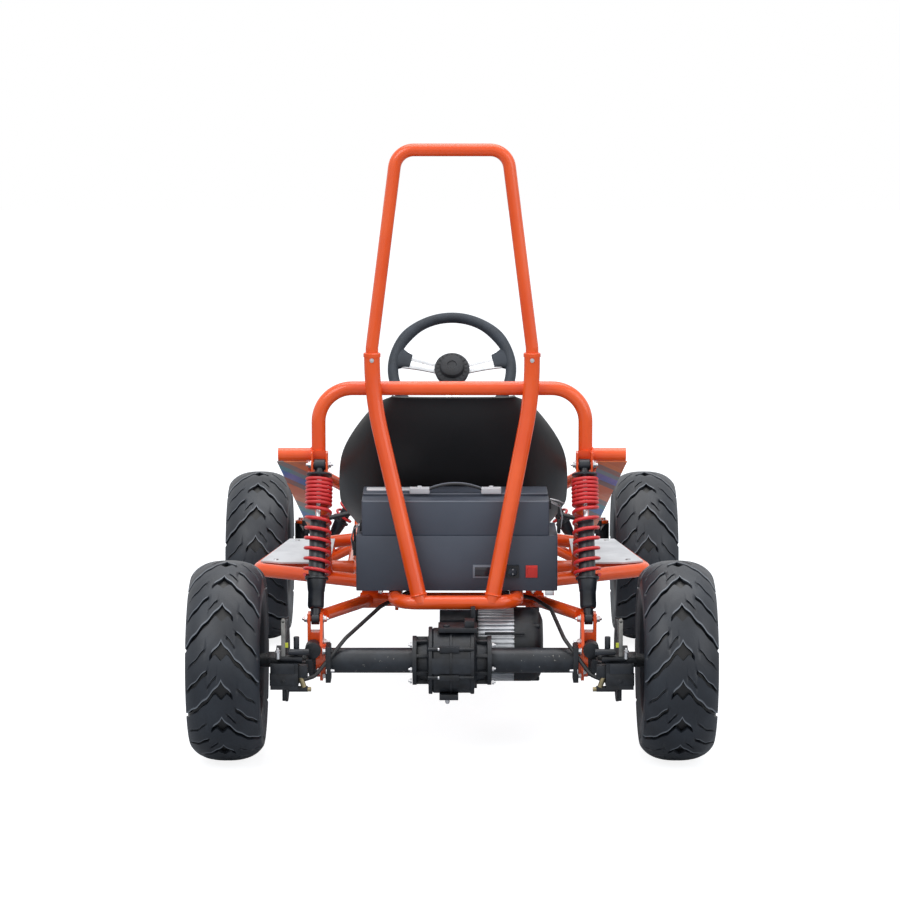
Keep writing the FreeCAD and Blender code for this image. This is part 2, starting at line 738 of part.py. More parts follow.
# Charging socket: a square flange with a round well on the rear wall of the tray

SOCKET_X = "(rear_shift + 101)"
SOCKET_Y = "(case_rear_y - sheet_thickness - 0.5 - socket_depth / 2)"
SOCKET_Z = "(frame_height + 48)"
socket_body = block("socket_flange", "socket_depth", "socket_flange", SOCKET_X, SOCKET_Y, SOCKET_Z)
socket_well = rod("socket_bore", "socket_depth + 4", SOCKET_X, SOCKET_Y, SOCKET_Z, "Y")
node("charge_socket", cut(socket_body, [socket_well]))

# Rear axle: gear housing, motor and axle tubes

turned_housing = put(revolved([
    ("-gear_flange_half", "shaft_radius + 0.5"), ("-gear_flange_half", "gear_flange"),
    ("-gear_flange_half + 7", "gear_flange"), ("-gear_flange_half + 9", "gear_flange - 9"),
    ("-gear_half - 6", "gear_flange - 6"), ("-gear_half", "gear_radius - 6"),
    ("-gear_half + 6", "gear_radius"), ("gear_half - 6", "gear_radius"), ("gear_half", "gear_radius - 6"),
    ("gear_half + 6", "gear_flange - 6"), ("gear_flange_half - 9", "gear_flange - 9"),
    ("gear_flange_half - 7", "gear_flange"), ("gear_flange_half", "gear_flange"),
    ("gear_flange_half", "shaft_radius + 0.5"),
]), 0, "rear_axle_y", "axle_height")
CASE_START = "(-gear_half + 16)"
CASE_WIDTH = f"(motor_left - running_gap - {CASE_START})"
MOTOR_Z = "(axle_height + motor_rise)"
gear_case = rod("motor_radius - 5", CASE_WIDTH, f"{CASE_START} + {CASE_WIDTH} / 2", "motor_y", MOTOR_Z, "X")
gear_neck = block(CASE_WIDTH, "motor_y - rear_axle_y", "2 * gear_flange + 20",
                  f"{CASE_START} + {CASE_WIDTH} / 2", "(motor_y + rear_axle_y) / 2",
                  f"(axle_height + {MOTOR_Z}) / 2")
shaft_way = rod("shaft_radius + 0.5", "3 * gear_flange_half", 0, "rear_axle_y", "axle_height", "X")
node("gear_housing", cut(fused([turned_housing, gear_case, gear_neck]), [shaft_way]))


def motor():
    """The finned motor with its black end bells."""
    radius = size("motor_radius")
    place = Vector(size("motor_left"), size("motor_y"), AXLE_Z + size("motor_rise"))
    along = Vector(1, 0, 0)
    core = Part.makeCylinder(radius - 7, size("motor_length"), place, along)
    parts = [Part.makeCylinder(radius, 10, place, along)]
    bell = size("bell_length")
    parts.append(Part.makeCylinder(radius, bell, place + along * (size("motor_length") - bell), along))
    for turn in range(24):
        fin = Part.makeBox(size("motor_length") - bell - 10, 2.4, 10,
                           Vector(place.x + 10, place.y - 1.2, place.z + radius - 11))
        parts.append(fin.rotated(place, along, 15 * turn))
    return core.multiFuse(parts)


node("motor", feature(motor()))

axle_tube = cut(rod("axle_tube_radius", "axle_tube_end - gear_flange_half",
                    "-(axle_tube_end + gear_flange_half) / 2", "rear_axle_y", "axle_height", "X"),
                [rod("shaft_radius + running_gap", "axle_tube_end", "-axle_tube_end / 2 - gear_flange_half",
                     "rear_axle_y", "axle_height", "X")])
pair("axle_tubes", axle_tube)

# Trailing arms with their axle plates and the clevises of the rear dampers

PLATE_X = size("plate_half")
FOOT = Vector(-size("damper_foot_half"), size("damper_foot_y"), size("damper_foot_z"))


def trailing_arm():
    """The left arm: bush, tube, axle plate and clevis."""
    rear = size("rear_axle_y")
    outline = [(rear - 30, AXLE_Z - 12), (rear - 26, AXLE_Z + 30), (FOOT.y - 15, FOOT.z + 11),
               (FOOT.y + 20, FOOT.z + 11), (rear + 44, AXLE_Z + 40), (rear + 34, AXLE_Z - 20),
               (rear + 14, AXLE_Z - 33), (rear - 16, AXLE_Z - 33)]
    edge = Part.makePolygon([Vector(-PLATE_X - 2.5, y, z) for y, z in outline + outline[:1]])
    parts = [Part.Face(edge).extrude(Vector(5, 0, 0))]
    outer = [(FOOT.y - 15, FOOT.z + 11), (FOOT.y + 17, FOOT.z + 11), (FOOT.y + 15, FOOT.z - 40),
             (FOOT.y - 12, FOOT.z - 40)]
    edge = Part.makePolygon([Vector(2 * FOOT.x + PLATE_X - 2.5, y, z) for y, z in outer + outer[:1]])
    parts.append(Part.Face(edge).extrude(Vector(5, 0, 0)))
    web = 2 * (PLATE_X - abs(FOOT.x))
    parts.append(Part.makeBox(abs(web), 26, 18, Vector(FOOT.x - abs(web) / 2, FOOT.y - 11, FOOT.z - 40)))
    parts.append(Part.makeCylinder(5, 40, FOOT - Vector(20, 0, 0), Vector(1, 0, 0)))
    bush = Vector(-size("arm_pivot_half"), size("pivot_y"), size("pivot_height"))
    end = Vector(-PLATE_X + 2, FOOT.y + 20, FOOT.z + 3)
    arm = Part.makeCylinder(size("arm_radius"), (end - bush).Length, bush, end - bush)
    parts.append(arm)
    parts.append(Part.makeCylinder(TUBE + 3.5, 30, bush - Vector(15, 0, 0), Vector(1, 0, 0)))
    collar = Vector(-PLATE_X - 9, rear, AXLE_Z)
    parts.append(Part.makeCylinder(size("axle_tube_radius") + 7, 18, collar, Vector(1, 0, 0)))
    whole = parts[0].multiFuse(parts[1:])
    pivot_bore = Part.makeCylinder(TUBE + size("running_gap"), 60, bush - Vector(30, 0, 0), Vector(1, 0, 0))
    axle_bore = Part.makeCylinder(size("axle_tube_radius"), 60, collar - Vector(20, 0, 0), Vector(1, 0, 0))
    return max(whole.cut(pivot_bore).cut(axle_bore).Solids, key=lambda solid: solid.Volume)


LEFT_ARM = trailing_arm()
node("trailing_arms", feature(Part.makeCompound([LEFT_ARM, flipped(LEFT_ARM)])))

# Dampers and springs, made upright from the lower eye and then tilted to their place

EYE_RADIUS = 10
NECK_RADIUS = 6
FOOT_SHARE = 0.27
SEAT_HIGH = 21
SEAT_PLATE = 4


def damper(length, radius, widths, bolt, axis):
    """A damper from its lower eye at the origin to its upper eye, with both spring seats."""
    collar = length * FOOT_SHARE
    parts = [
        Part.makeCylinder(radius, collar + length * 0.38 - 18, Vector(0, 0, 18)),
        Part.makeCone(radius + 0.2, radius + 2.6, 20, Vector(0, 0, collar - SEAT_PLATE - 20)),
        Part.makeCylinder(radius + 7.6, SEAT_PLATE, Vector(0, 0, collar - SEAT_PLATE)),
        Part.makeCylinder(4.5, length * 0.4, Vector(0, 0, length * 0.56)),
        Part.makeCylinder(radius + 8, SEAT_PLATE, Vector(0, 0, length - SEAT_HIGH)),
        Part.makeCylinder(NECK_RADIUS, SEAT_HIGH - 6, Vector(0, 0, length - SEAT_HIGH)),
        Part.makeCylinder(NECK_RADIUS, 16, Vector(0, 0, 5)),
    ]
    bores = []
    for z, width in zip((0, length), widths):
        parts.append(Part.makeCylinder(EYE_RADIUS, width, Vector(0, 0, z) - axis * width / 2, axis))
        bores.append(Part.makeCylinder(bolt + 0.8, 60, Vector(0, 0, z) - axis * 30, axis))
    whole = parts[0].multiFuse(parts[1:])
    return whole.cut(bores[0]).cut(bores[1])


def coil(low, high, radius, wire, turns, dense):
    """A spring of flat half rings, each tilted so that it climbs to the next; its upper turns are dense."""
    halves = int(turns * 2)
    close = int(dense * 2)
    tight = 1.7 * wire
    wide = (high - low - 2 * wire - close * tight) / (halves - close)
    points = ((wire, 0), (0, wire), (-wire, 0), (0, -wire))
    corners = [Vector(radius + across, 0, up) for across, up in points]
    section = Part.Face(Part.makePolygon(corners + corners[:1]))
    rings = []
    start = low + wire
    for number in range(halves):
        rise = wide if number < halves - close else tight
        turned = 180 * (number % 2)
        tilt = math.degrees(math.atan2(rise, 2 * radius))
        half = section.revolve(Vector(), Vector(0, 0, 1), 180)
        half.rotate(Vector(), Vector(0, 1, 0), tilt)
        half.rotate(Vector(), Vector(0, 0, 1), turned)
        half.translate(Vector(0, 0, start + rise / 2))
        rings.append(half)
        start += rise
    return rings[0].multiFuse(rings[1:])


def from_to(shape, foot, top, axis):
    """Moves an upright shape so that it runs from one eye to the other."""
    upright = Rotation(axis, Vector(), top - foot, "ZXY")
    moved = shape.copy()
    moved.Placement = Placement(foot, upright)
    return moved


REAR_TOP = Vector(-size("damper_top_half"), size("damper_top_y"), size("damper_top_z"))
REAR_LENGTH = (REAR_TOP - FOOT).Length
ALONG_X = Vector(1, 0, 0)
ALONG_Y = Vector(0, 1, 0)
REAR_DAMPER = damper(REAR_LENGTH, size("damper_body"), (14, 21), 5, ALONG_X)


def both_sides(shape, foot, top, axis):
    """The same upright piece on the left and on the right."""
    across = [Vector(-point.x, point.y, point.z) for point in (foot, top)]
    return Part.makeCompound([from_to(shape, foot, top, axis), from_to(shape, across[0], across[1], axis)])


node("rear_dampers", feature(both_sides(REAR_DAMPER, FOOT, REAR_TOP, ALONG_X)))


def seated_coil(length, radius, wire, turns, dense):
    """A spring between the two seats of a damper of this length."""
    return coil(length * FOOT_SHARE + size("running_gap"), length - SEAT_HIGH - size("running_gap"),
                size(radius), size(wire), size(turns), dense)


REAR_COIL = seated_coil(REAR_LENGTH, "spring_radius", "wire_radius", "spring_turns", 5.5)
LEFT_COIL = from_to(REAR_COIL, FOOT, REAR_TOP, ALONG_X)
node("rear_springs", feature(Part.makeCompound([LEFT_COIL, flipped(LEFT_COIL)])))

# Rear brakes: calipers on the ends of the axle tubes, and their cables

DISC_X = size("disc_half")
REAR_Y = size("rear_axle_y")


def caliper():
    """The left caliper: two pads' housings, a bridge over the disc and its carrier."""
    back = REAR_Y - size("disc_radius") + 14
    parts = [
        Part.makeBox(18, 44, 46, Vector(-DISC_X - 24, back - 30, AXLE_Z - 32)),
        Part.makeBox(18, 44, 46, Vector(-DISC_X + 5, back - 30, AXLE_Z - 32)),
        Part.makeBox(48, 12, 46, Vector(-DISC_X - 24, back - 36, AXLE_Z - 32)),
        Part.makeBox(32, 14, 16, Vector(-DISC_X + 16, back + 4, AXLE_Z - 8)),
        Part.makeBox(10, 46, 22, Vector(-DISC_X + 36, back + 2, AXLE_Z - 11)),
    ]
    reach = size("axle_tube_end") + 4 - PLATE_X - 9 - size("running_gap")
    collar = Part.makeCylinder(size("axle_tube_radius") + 6, reach,
                               Vector(-size("axle_tube_end") - 4, REAR_Y, AXLE_Z), Vector(1, 0, 0))
    parts.append(collar)
    bore = Part.makeCylinder(size("axle_tube_radius"), 16, Vector(-size("axle_tube_end"), REAR_Y, AXLE_Z),
                             Vector(1, 0, 0))
    passage = Part.makeCylinder(size("shaft_radius") + 1.2, 60,
                                Vector(-size("axle_tube_end") - 30, REAR_Y, AXLE_Z), Vector(1, 0, 0))
    return parts[0].multiFuse(parts[1:]).removeSplitter().cut(bore).cut(passage)


LEFT_CALIPER = caliper()
node("brake_calipers", feature(Part.makeCompound([LEFT_CALIPER, flipped(LEFT_CALIPER)])))


CABLE = size("cable_radius")


def cable(side, inner):
    """A brake cable from the pedals, under the floor and the seat, to its caliper."""
    under = FRAME - TUBE - SHEET - CABLE - 0.1
    points = [
        (side * 62, TAPER_FRONT + 60, under), (side * 40, 200, under), (side * 84, -235, under),
        (size("rear_shift") + side * (size("rear_rail_half") - TUBE - 9.5), size("pivot_y") - 16,
         FRAME - TUBE - CABLE - 0.6),
    ] + inner + [(side * (DISC_X - 18), REAR_Y - 75, AXLE_Z - 23)]
    return coped(tube(points, CABLE, 24), [LEFT_CALIPER, flipped(LEFT_CALIPER)])


LEFT_CABLE = cable(-1, [(-128, -452, FRAME - TUBE - CABLE - 2), (-186, REAR_Y - 3, AXLE_Z + 40),
                        (-238, REAR_Y - 53, AXLE_Z - 17)])
RIGHT_CABLE = cable(1, [(148, -384, FRAME - TUBE - CABLE), (176, -460, FRAME - TUBE - CABLE - 4),
                        (196, REAR_Y - 9, AXLE_Z + 40), (241, REAR_Y - 53, AXLE_Z - 15)])
node("brake_cables", feature(Part.makeCompound([LEFT_CABLE, RIGHT_CABLE])))

# Tyre: a carcass in flats, with chevron lugs over its crown and shoulders

TYRE_RADIUS = size("axle_height")
LUG = size("lug_height")
CARCASS = TYRE_RADIUS - LUG
PITCHES = int(size("lug_count"))
FLATS = 3


def carcass_profile():
    """Half section corners from bead to bead: distance across and radius."""
    half = size("tyre_width") / 2
    bead = size("bead_radius")
    rim = size("rim_width") / 2
    right = [(rim - 5.5, bead), (rim - 5.5, bead + 10), (half - 3, bead + 30), (half - 2, CARCASS - 32),
             (half - 20, CARCASS - 8), (0, CARCASS)]
    return [(-x, r) for x, r in right] + [(x, r) for x, r in reversed(right[:-1])]


def turned_point(x, radius, degrees):
    """A point of the tyre: distance across, radius and angle about the X axis."""
    angle = math.radians(degrees)
    return Vector(x, -radius * math.sin(angle), radius * math.cos(angle))


def lug_section(x, radius, degrees, up):
    """The cross section of a lug's arm at one place on its way to the shoulder."""
    spread = math.degrees(size("lug_thickness") / 2 / radius)
    inner = radius - 4
    outer = radius + up
    points = [turned_point(x, inner, degrees - spread), turned_point(x, outer, degrees - spread * 0.9),
              turned_point(x, outer, degrees + spread * 0.9), turned_point(x, inner, degrees + spread)]
    return Part.makePolygon(points + points[:1])


def tyre():
    """The whole tyre about the origin."""
    profile = carcass_profile()
    step = 360 / (PITCHES * FLATS)
    sections = []
    for number in range(PITCHES * FLATS):
        ring = [turned_point(x, r, number * step) for x, r in profile]
        sections.append(Part.makePolygon(ring + ring[:1]))
    faces = []
    for number in range(len(sections)):
        first = sections[number]
        second = sections[(number + 1) % len(sections)]
        for index in range(len(profile)):
            a = first.Vertexes[index].Point
            b = first.Vertexes[(index + 1) % len(profile)].Point
            c = second.Vertexes[(index + 1) % len(profile)].Point
            d = second.Vertexes[index].Point
            faces.append(Part.Face(Part.makePolygon([a, b, c, d, a])))
    carcass = Part.makeSolid(Part.makeShell(faces))
    if carcass.Volume < 0:
        carcass.reverse()
    sweep = size("lug_sweep")
    tread = size("tread_width") / 2
    drop = CARCASS - 9
    stations = ((0, CARCASS - 0.4, 0, LUG + 0.4), (tread * 0.55, CARCASS - 4, 0.55, LUG + 3),
                (tread - 1, drop - 3, 0.93, LUG + 2))
    lugs = []
    for number in range(PITCHES):
        for side in (-1, 1):
            start = number * 360 / PITCHES
            rings = [lug_section(side * x, radius, start + along * sweep, up)
                     for x, radius, along, up in stations]
            lugs.append(Part.makeLoft(rings, True, True))
    return carcass.multiFuse(lugs)


TYRE_SHAPE = tyre()


# Rim: a turned drop-centre rim with a dished disc and round windows

RIM_OUTLINE = [
    ("-rim_width / 2", "bead_radius - 3"), ("-rim_width / 2", "bead_radius + 8"),
    ("-rim_width / 2 + 4", "bead_radius + 8"), ("-rim_width / 2 + 5", "bead_radius - 0.5"),
    ("-18", "bead_radius - 0.5"), ("-12", "bead_radius - 12"), ("20", "bead_radius - 12"),
    ("26", "bead_radius - 0.5"), ("rim_width / 2 - 5", "bead_radius - 0.5"),
    ("rim_width / 2 - 4", "bead_radius + 8"), ("rim_width / 2", "bead_radius + 8"),
    ("rim_width / 2", "bead_radius - 3"), ("26", "bead_radius - 4"), ("21", "bead_radius - 16"),
    ("4", "bead_radius - 16"), ("14", "hub_radius + 4"), ("24", "hub_radius"),
    ("24", "shaft_radius + 0.5"), ("-20", "shaft_radius + 0.5"),
    ("-20", "hub_radius"), ("6", "hub_radius"), ("-2", "bead_radius - 16"), ("-13", "bead_radius - 16"),
    ("-19", "bead_radius - 4"),
]


def rim():
    """One rim about the origin, its dish to the outside at +X."""
    body = revolved(RIM_OUTLINE)
    document.recompute()
    middle = (size("bead_radius") + size("hub_radius")) / 2 - 6
    window = Part.makeCylinder(size("rim_window"), 60, Vector(-20, 0, middle), Vector(1, 0, 0))
    windows = [window.rotated(Vector(), Vector(1, 0, 0), 60 * turn) for turn in range(6)]
    shape = body.Shape.cut(Part.makeCompound(windows))
    return shape


RIM_SHAPE = rim()


def half_shaft():
    """The right rear half shaft with its brake disc and wheel flange."""
    start = size("gear_flange_half") - 20
    end = size("rear_track_half") + 24
    along = Vector(1, 0, 0)
    shaft = Part.makeCylinder(size("shaft_radius"), end - start, Vector(start, 0, 0), along)
    disc = Part.makeCylinder(size("disc_radius"), size("disc_thickness"),
                             Vector(DISC_X - size("disc_thickness") / 2, 0, 0), along)
    carrier = Part.makeCylinder(26, 16, Vector(DISC_X + 2, 0, 0), along)
    hole = Part.makeCylinder(6, 20, Vector(DISC_X - 10, 0, size("disc_radius") - 24), along)
    holes = [hole.rotated(Vector(), along, 45 * turn) for turn in range(8)]
    disc = disc.cut(Part.makeCompound(holes))
    flange = Part.makeCylinder(size("hub_radius"), 6, Vector(size("rear_track_half") - 26.3, 0, 0), along)
    return shaft.multiFuse([disc, carrier, flange])


HALF_SHAFT = half_shaft()


def placed(shape, side, x, y):
    """A wheel part on one side of the vehicle, its outside turned outwards."""
    copy = shape.copy() if side > 0 else flipped(shape)
    copy.translate(Vector(side * x, y, AXLE_Z))
    return copy


for word, side in (("left", -1), ("right", 1)):
    for end, half, y in (("rear", size("rear_track_half"), REAR_Y),
                         ("front", size("front_track_half"), FRONT_AXLE)):
        node(f"{end}_{word}_tyre", feature(placed(TYRE_SHAPE, side, half, y)))
        node(f"{end}_{word}_rim", feature(placed(RIM_SHAPE, side, half, y)))
    node(f"rear_{word}_half_shaft", feature(placed(HALF_SHAFT, side, 0, REAR_Y)))

# Front suspension: arms with kingpin brackets, dampers and springs

KINGPIN = size("kingpin_half")
BARREL = size("barrel_height") / 2
BARREL_MIDDLE = AXLE_Z + 16
EAR = 5
FRONT_FOOT = Vector(-KINGPIN + 56, FRONT_AXLE, BARREL_MIDDLE - BARREL + 60)
FRONT_TOP = Vector(-size("nose_half") - 26, size("nose_y"), size("nose_height") - 16)


def front_arm():
    """The left arm: two bushes, two tubes, and the bracket that holds the kingpin."""
    parts = []
    bracket_x = -KINGPIN + size("barrel_radius") + 11
    parts.append(Part.makeBox(6, 24, 2 * BARREL + 12,
                              Vector(bracket_x, FRONT_AXLE - 12, BARREL_MIDDLE - BARREL - 6)))
    for z in (BARREL_MIDDLE - BARREL - 6, BARREL_MIDDLE + BARREL + 1):
        parts.append(Part.makeBox(bracket_x + KINGPIN, 24, EAR, Vector(-KINGPIN, FRONT_AXLE - 12, z)))
        parts.append(Part.makeCylinder(13, EAR, Vector(-KINGPIN, FRONT_AXLE, z)))
    parts.append(Part.makeCylinder(size("kingpin_radius"), 2 * BARREL + 22,
                                   Vector(-KINGPIN, FRONT_AXLE, BARREL_MIDDLE - BARREL - 11)))
    bores = []
    for y in (FRONT_AXLE - 39, FRONT_AXLE + 39):
        bush = Vector(-PIN_HALF, y, PIN_Z)
        foot = Vector(bracket_x + 3, FRONT_AXLE + (8 if y > FRONT_AXLE else -8), BARREL_MIDDLE - BARREL + 14)
        parts.append(Part.makeCylinder(9, (foot - bush).Length, bush, foot - bush))
        parts.append(Part.makeCylinder(12, 22, bush - Vector(0, 11, 0), Vector(0, 1, 0)))
        bores.append(Part.makeCylinder(size("kingpin_radius") + size("running_gap"), 60,
                                       bush - Vector(0, 30, 0), Vector(0, 1, 0)))
    for y in (FRONT_AXLE - 14, FRONT_AXLE + 11):
        parts.append(Part.makeBox(26, 3, 46, Vector(FRONT_FOOT.x - 13, y, FRONT_FOOT.z - 36)))
    parts.append(Part.makeCylinder(4, 34, FRONT_FOOT - Vector(0, 17, 0), Vector(0, 1, 0)))
    whole = parts[0].multiFuse(parts[1:])
    return max(whole.cut(bores[0]).cut(bores[1]).Solids, key=lambda solid: solid.Volume)


LEFT_FRONT_ARM = front_arm()
node("front_arms", feature(Part.makeCompound([LEFT_FRONT_ARM, flipped(LEFT_FRONT_ARM)])))

FRONT_LENGTH = (FRONT_TOP - FRONT_FOOT).Length
FRONT_DAMPER = damper(FRONT_LENGTH, size("front_damper_body"), (19, 19), 4, ALONG_Y)
node("front_dampers", feature(both_sides(FRONT_DAMPER, FRONT_FOOT, FRONT_TOP, ALONG_X)))
FRONT_COIL = from_to(seated_coil(FRONT_LENGTH, "front_spring_radius", "front_wire_radius",
                                 "front_spring_turns", 2), FRONT_FOOT, FRONT_TOP, ALONG_X)
node("front_springs", feature(Part.makeCompound([FRONT_COIL, flipped(FRONT_COIL)])))

# Steering: knuckles, tie rods, column and wheel

ARM_END = Vector(-KINGPIN + 14, FRONT_AXLE - size("steering_arm"), BARREL_MIDDLE + BARREL - 4)


EYE_LIFT = 18
BALL = 8.5
BALL_SPREAD = 12
PITMAN_PLATE = 7


def knuckle():
    """The left knuckle: barrel, stub axle with its flange, and steering arm."""
    radius = size("barrel_radius")
    parts = [
        Part.makeCylinder(radius, 2 * BARREL - 2 * size("running_gap"),
                          Vector(-KINGPIN, FRONT_AXLE, BARREL_MIDDLE - BARREL + size("running_gap"))),
        Part.makeCylinder(size("shaft_radius"), size("front_track_half") + 30 - KINGPIN,
                          Vector(-KINGPIN, FRONT_AXLE, AXLE_Z), Vector(-1, 0, 0)),
    ]
    arm = Part.makeBox(14, size("steering_arm") - 8, 7, Vector(-7, -size("steering_arm") + 2, 0))
    turn = math.degrees(math.atan2(14, size("steering_arm")))
    arm.rotate(Vector(), Vector(0, 0, 1), turn)
    arm.translate(Vector(-KINGPIN, FRONT_AXLE, ARM_END.z - 3.5))
    parts.append(arm)
    parts.append(Part.makeCylinder(9, 7, ARM_END - Vector(0, 0, 3.5)))
    parts.append(Part.makeCylinder(6.5, EYE_LIFT - 7, ARM_END))
    parts.append(Part.makeCylinder(4, EYE_LIFT + 10, ARM_END))
    bore = Part.makeCylinder(size("kingpin_radius") + size("running_gap"), 200,
                             Vector(-KINGPIN, FRONT_AXLE, BARREL_MIDDLE - 100))
    return parts[0].multiFuse(parts[1:]).removeSplitter().cut(bore)


LEFT_KNUCKLE = knuckle()
node("left_knuckle", feature(LEFT_KNUCKLE))
node("right_knuckle", feature(flipped(LEFT_KNUCKLE)))

COLUMN_END = WHEEL_CENTRE + DOWN * (size("column_length") - 25)
ACROSS = Vector(0, -math.sin(SLOPE), -math.cos(SLOPE))
PITMAN = COLUMN_END + ACROSS * size("pitman_reach")


def column():
    """The steering column with its pitman arm and the two pins of the tie rods."""
    shaft = Part.makeCylinder(size("column_radius"), size("column_length") - 12,
                              WHEEL_CENTRE + DOWN * 12, DOWN)
    parts = [shaft]
    arm = Part.makeBox(26, size("pitman_reach") + 8, PITMAN_PLATE, Vector(-13, 0, -PITMAN_PLATE / 2))
    boss = Part.makeCylinder(size("column_radius") + 5, 16, COLUMN_END - DOWN * 8, DOWN)
    parts.append(boss)
    head = Part.makeBox(2 * BALL_SPREAD + 20, 18, PITMAN_PLATE,
                        Vector(-BALL_SPREAD - 10, size("pitman_reach") - 9, -PITMAN_PLATE / 2))
    lying = Placement(COLUMN_END, Rotation(Vector(1, 0, 0), ACROSS, DOWN, "XZY"))
    for piece in (arm, head):
        piece.Placement = lying.multiply(piece.Placement)
        parts.append(piece)
    return parts[0].multiFuse(parts[1:]).removeSplitter()


node("steering_column", feature(column()))


def tie_rod():
    """The left tie rod: outer eye on the knuckle's pin, inner eye beside the pitman."""
    outer = ARM_END + Vector(0, 0, EYE_LIFT)
    inner = PITMAN + Vector(-BALL_SPREAD, 0, 0) + DOWN * (PITMAN_PLATE / 2 + BALL + 1)
    line = inner - outer
    length = line.Length
    straight = Part.makeCylinder(size("tie_rod_radius"), length, outer, line)
    eye = Part.makeCylinder(9, 12, outer - Vector(0, 0, 6))
    ball = Part.makeSphere(BALL, inner)
    bore = Part.makeCylinder(4.3, 40, outer - Vector(0, 0, 20))
    return straight.multiFuse([eye, ball]).removeSplitter().cut(bore)


LEFT_TIE_ROD = tie_rod()
node("left_tie_rod", feature(LEFT_TIE_ROD))
node("right_tie_rod", feature(flipped(LEFT_TIE_ROD)))


def steering_wheel():
    """Grip, three spokes and hub, made flat and then tilted onto the column."""
    grip = Part.makeTorus(size("wheel_radius"), size("grip_radius"))
    hub = Part.makeCylinder(size("hub_cap"), 20, Vector(0, 0, -12))
    parts = [hub]
    for turn in (0, 180, 270):
        spoke = Part.makeBox(size("wheel_radius"), 26, 4, Vector(0, -13, -8))
        parts.append(spoke.rotated(Vector(), Vector(0, 0, 1), turn))
    whole = grip.multiFuse(parts)
    whole.Placement = Placement(WHEEL_CENTRE, Rotation(Vector(1, 0, 0), ACROSS * -1, DOWN * -1, "XZY"))
    socket = Part.makeCylinder(size("column_radius"), 60, WHEEL_CENTRE + DOWN * 12, DOWN)
    return whole.cut(socket)


node("steering_wheel", feature(steering_wheel()))

# Pedals: two plates on stems that stand on the front cross tube


def pedal(x):
    """A pedal on its stem."""
    base = Vector(x, TAPER_FRONT + 90, FRAME - TUBE + 0.3)
    foot = Part.makeBox(34, 40, 5, base + Vector(-17, -20, 0))
    stem = Part.makeCylinder(5, 78, base + Vector(0, 0, 2), Vector(0, 0.25, 1))
    pad = Part.makeBox(48, 8, 60, Vector(-24, -4, -30))
    pad.rotate(Vector(), Vector(1, 0, 0), -14)
    pad.translate(base + Vector(0, 18, 84))
    return foot.multiFuse([stem, pad])


node("pedals", feature(Part.makeCompound([pedal(-62), pedal(62)])))

# Checks and files

document.recompute()
for item in document.Objects:
    if "Invalid" in item.State or "Error" in item.State:
        raise RuntimeError(f"{item.Label} failed: {item.State}")
os.makedirs("parts", exist_ok=True)
for item in nodes:
    shape = item.Shape
    if shape.isNull() or not shape.isValid():
        raise RuntimeError(f"{item.Label} has no valid shape")
    shape.exportStep(f"parts/{item.Label}.step")
    print(f"{item.Label}: {len(shape.Solids)} solids, {shape.Volume / 1000:.0f} cm3")
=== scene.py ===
# Looks of the electric off-road buggy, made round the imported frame. Metres, with +Y forward and +Z up.
import math

import bmesh
import bpy
from mathutils import Matrix, Vector


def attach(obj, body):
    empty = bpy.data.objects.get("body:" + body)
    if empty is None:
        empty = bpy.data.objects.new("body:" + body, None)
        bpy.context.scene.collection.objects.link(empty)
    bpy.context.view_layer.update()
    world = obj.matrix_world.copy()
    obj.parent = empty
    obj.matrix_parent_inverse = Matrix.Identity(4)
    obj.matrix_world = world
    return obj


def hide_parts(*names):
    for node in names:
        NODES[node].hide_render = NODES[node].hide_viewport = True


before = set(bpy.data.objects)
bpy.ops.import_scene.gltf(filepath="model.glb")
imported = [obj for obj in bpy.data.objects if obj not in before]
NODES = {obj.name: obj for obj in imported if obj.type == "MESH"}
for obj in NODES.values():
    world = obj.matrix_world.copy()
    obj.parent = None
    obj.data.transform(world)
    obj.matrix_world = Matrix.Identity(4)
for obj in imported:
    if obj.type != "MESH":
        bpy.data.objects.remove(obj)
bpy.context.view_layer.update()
MM = 0.001
RIGHT = Vector((1, 0, 0))
FORWARD = Vector((0, 1, 0))
UPWARD = Vector((0, 0, 1))

# Leading places and sizes, in millimetres, as in the frame
REAR_AXLE_Y = -565
FRONT_AXLE_Y = 475
AXLE_Z = 175
REAR_TRACK = 392
FRONT_TRACK = 399
FRAME_Z = 266
BRACE_SHIFT = 7
WHEEL_CENTRE = Vector((0, 60, 615))
COLUMN_SLOPE = math.radians(36)
DAMPER_FOOT = Vector((239, -556, 247))
DAMPER_TOP = Vector((234, -462, 506))
FRONT_DAMPER_FOOT = Vector((257, 475, 199))
FRONT_DAMPER_TOP = Vector((158, 475, 382))


# Shader helpers

def material(name, colour, roughness=0.5, metallic=0.0, coat=0.0):
    """A named material and its shader node."""
    made = bpy.data.materials.new(name)
    made.use_nodes = True
    shader = made.node_tree.nodes["Principled BSDF"]
    shader.inputs["Base Color"].default_value = (*colour, 1)
    shader.inputs["Roughness"].default_value = roughness
    shader.inputs["Metallic"].default_value = metallic
    shader.inputs["Coat Weight"].default_value = coat
    return made, shader


def noise(made, scale, detail=4):
    """A noise in object coordinates; returns its output."""
    nodes = made.node_tree.nodes
    place = nodes.new("ShaderNodeTexCoord")
    texture = nodes.new("ShaderNodeTexNoise")
    texture.inputs["Scale"].default_value = scale
    texture.inputs["Detail"].default_value = detail
    made.node_tree.links.new(place.outputs["Object"], texture.inputs["Vector"])
    return texture.outputs["Fac"]


def ramp(made, source, stops):
    """Colours over a range of values."""
    node = made.node_tree.nodes.new("ShaderNodeValToRGB")
    band = node.color_ramp
    while len(band.elements) < len(stops):
        band.elements.new(0.5)
    for element, (place, colour) in zip(band.elements, stops):
        element.position = place
        element.color = (*colour, 1)
    made.node_tree.links.new(source, node.inputs["Fac"])
    return node.outputs["Color"]


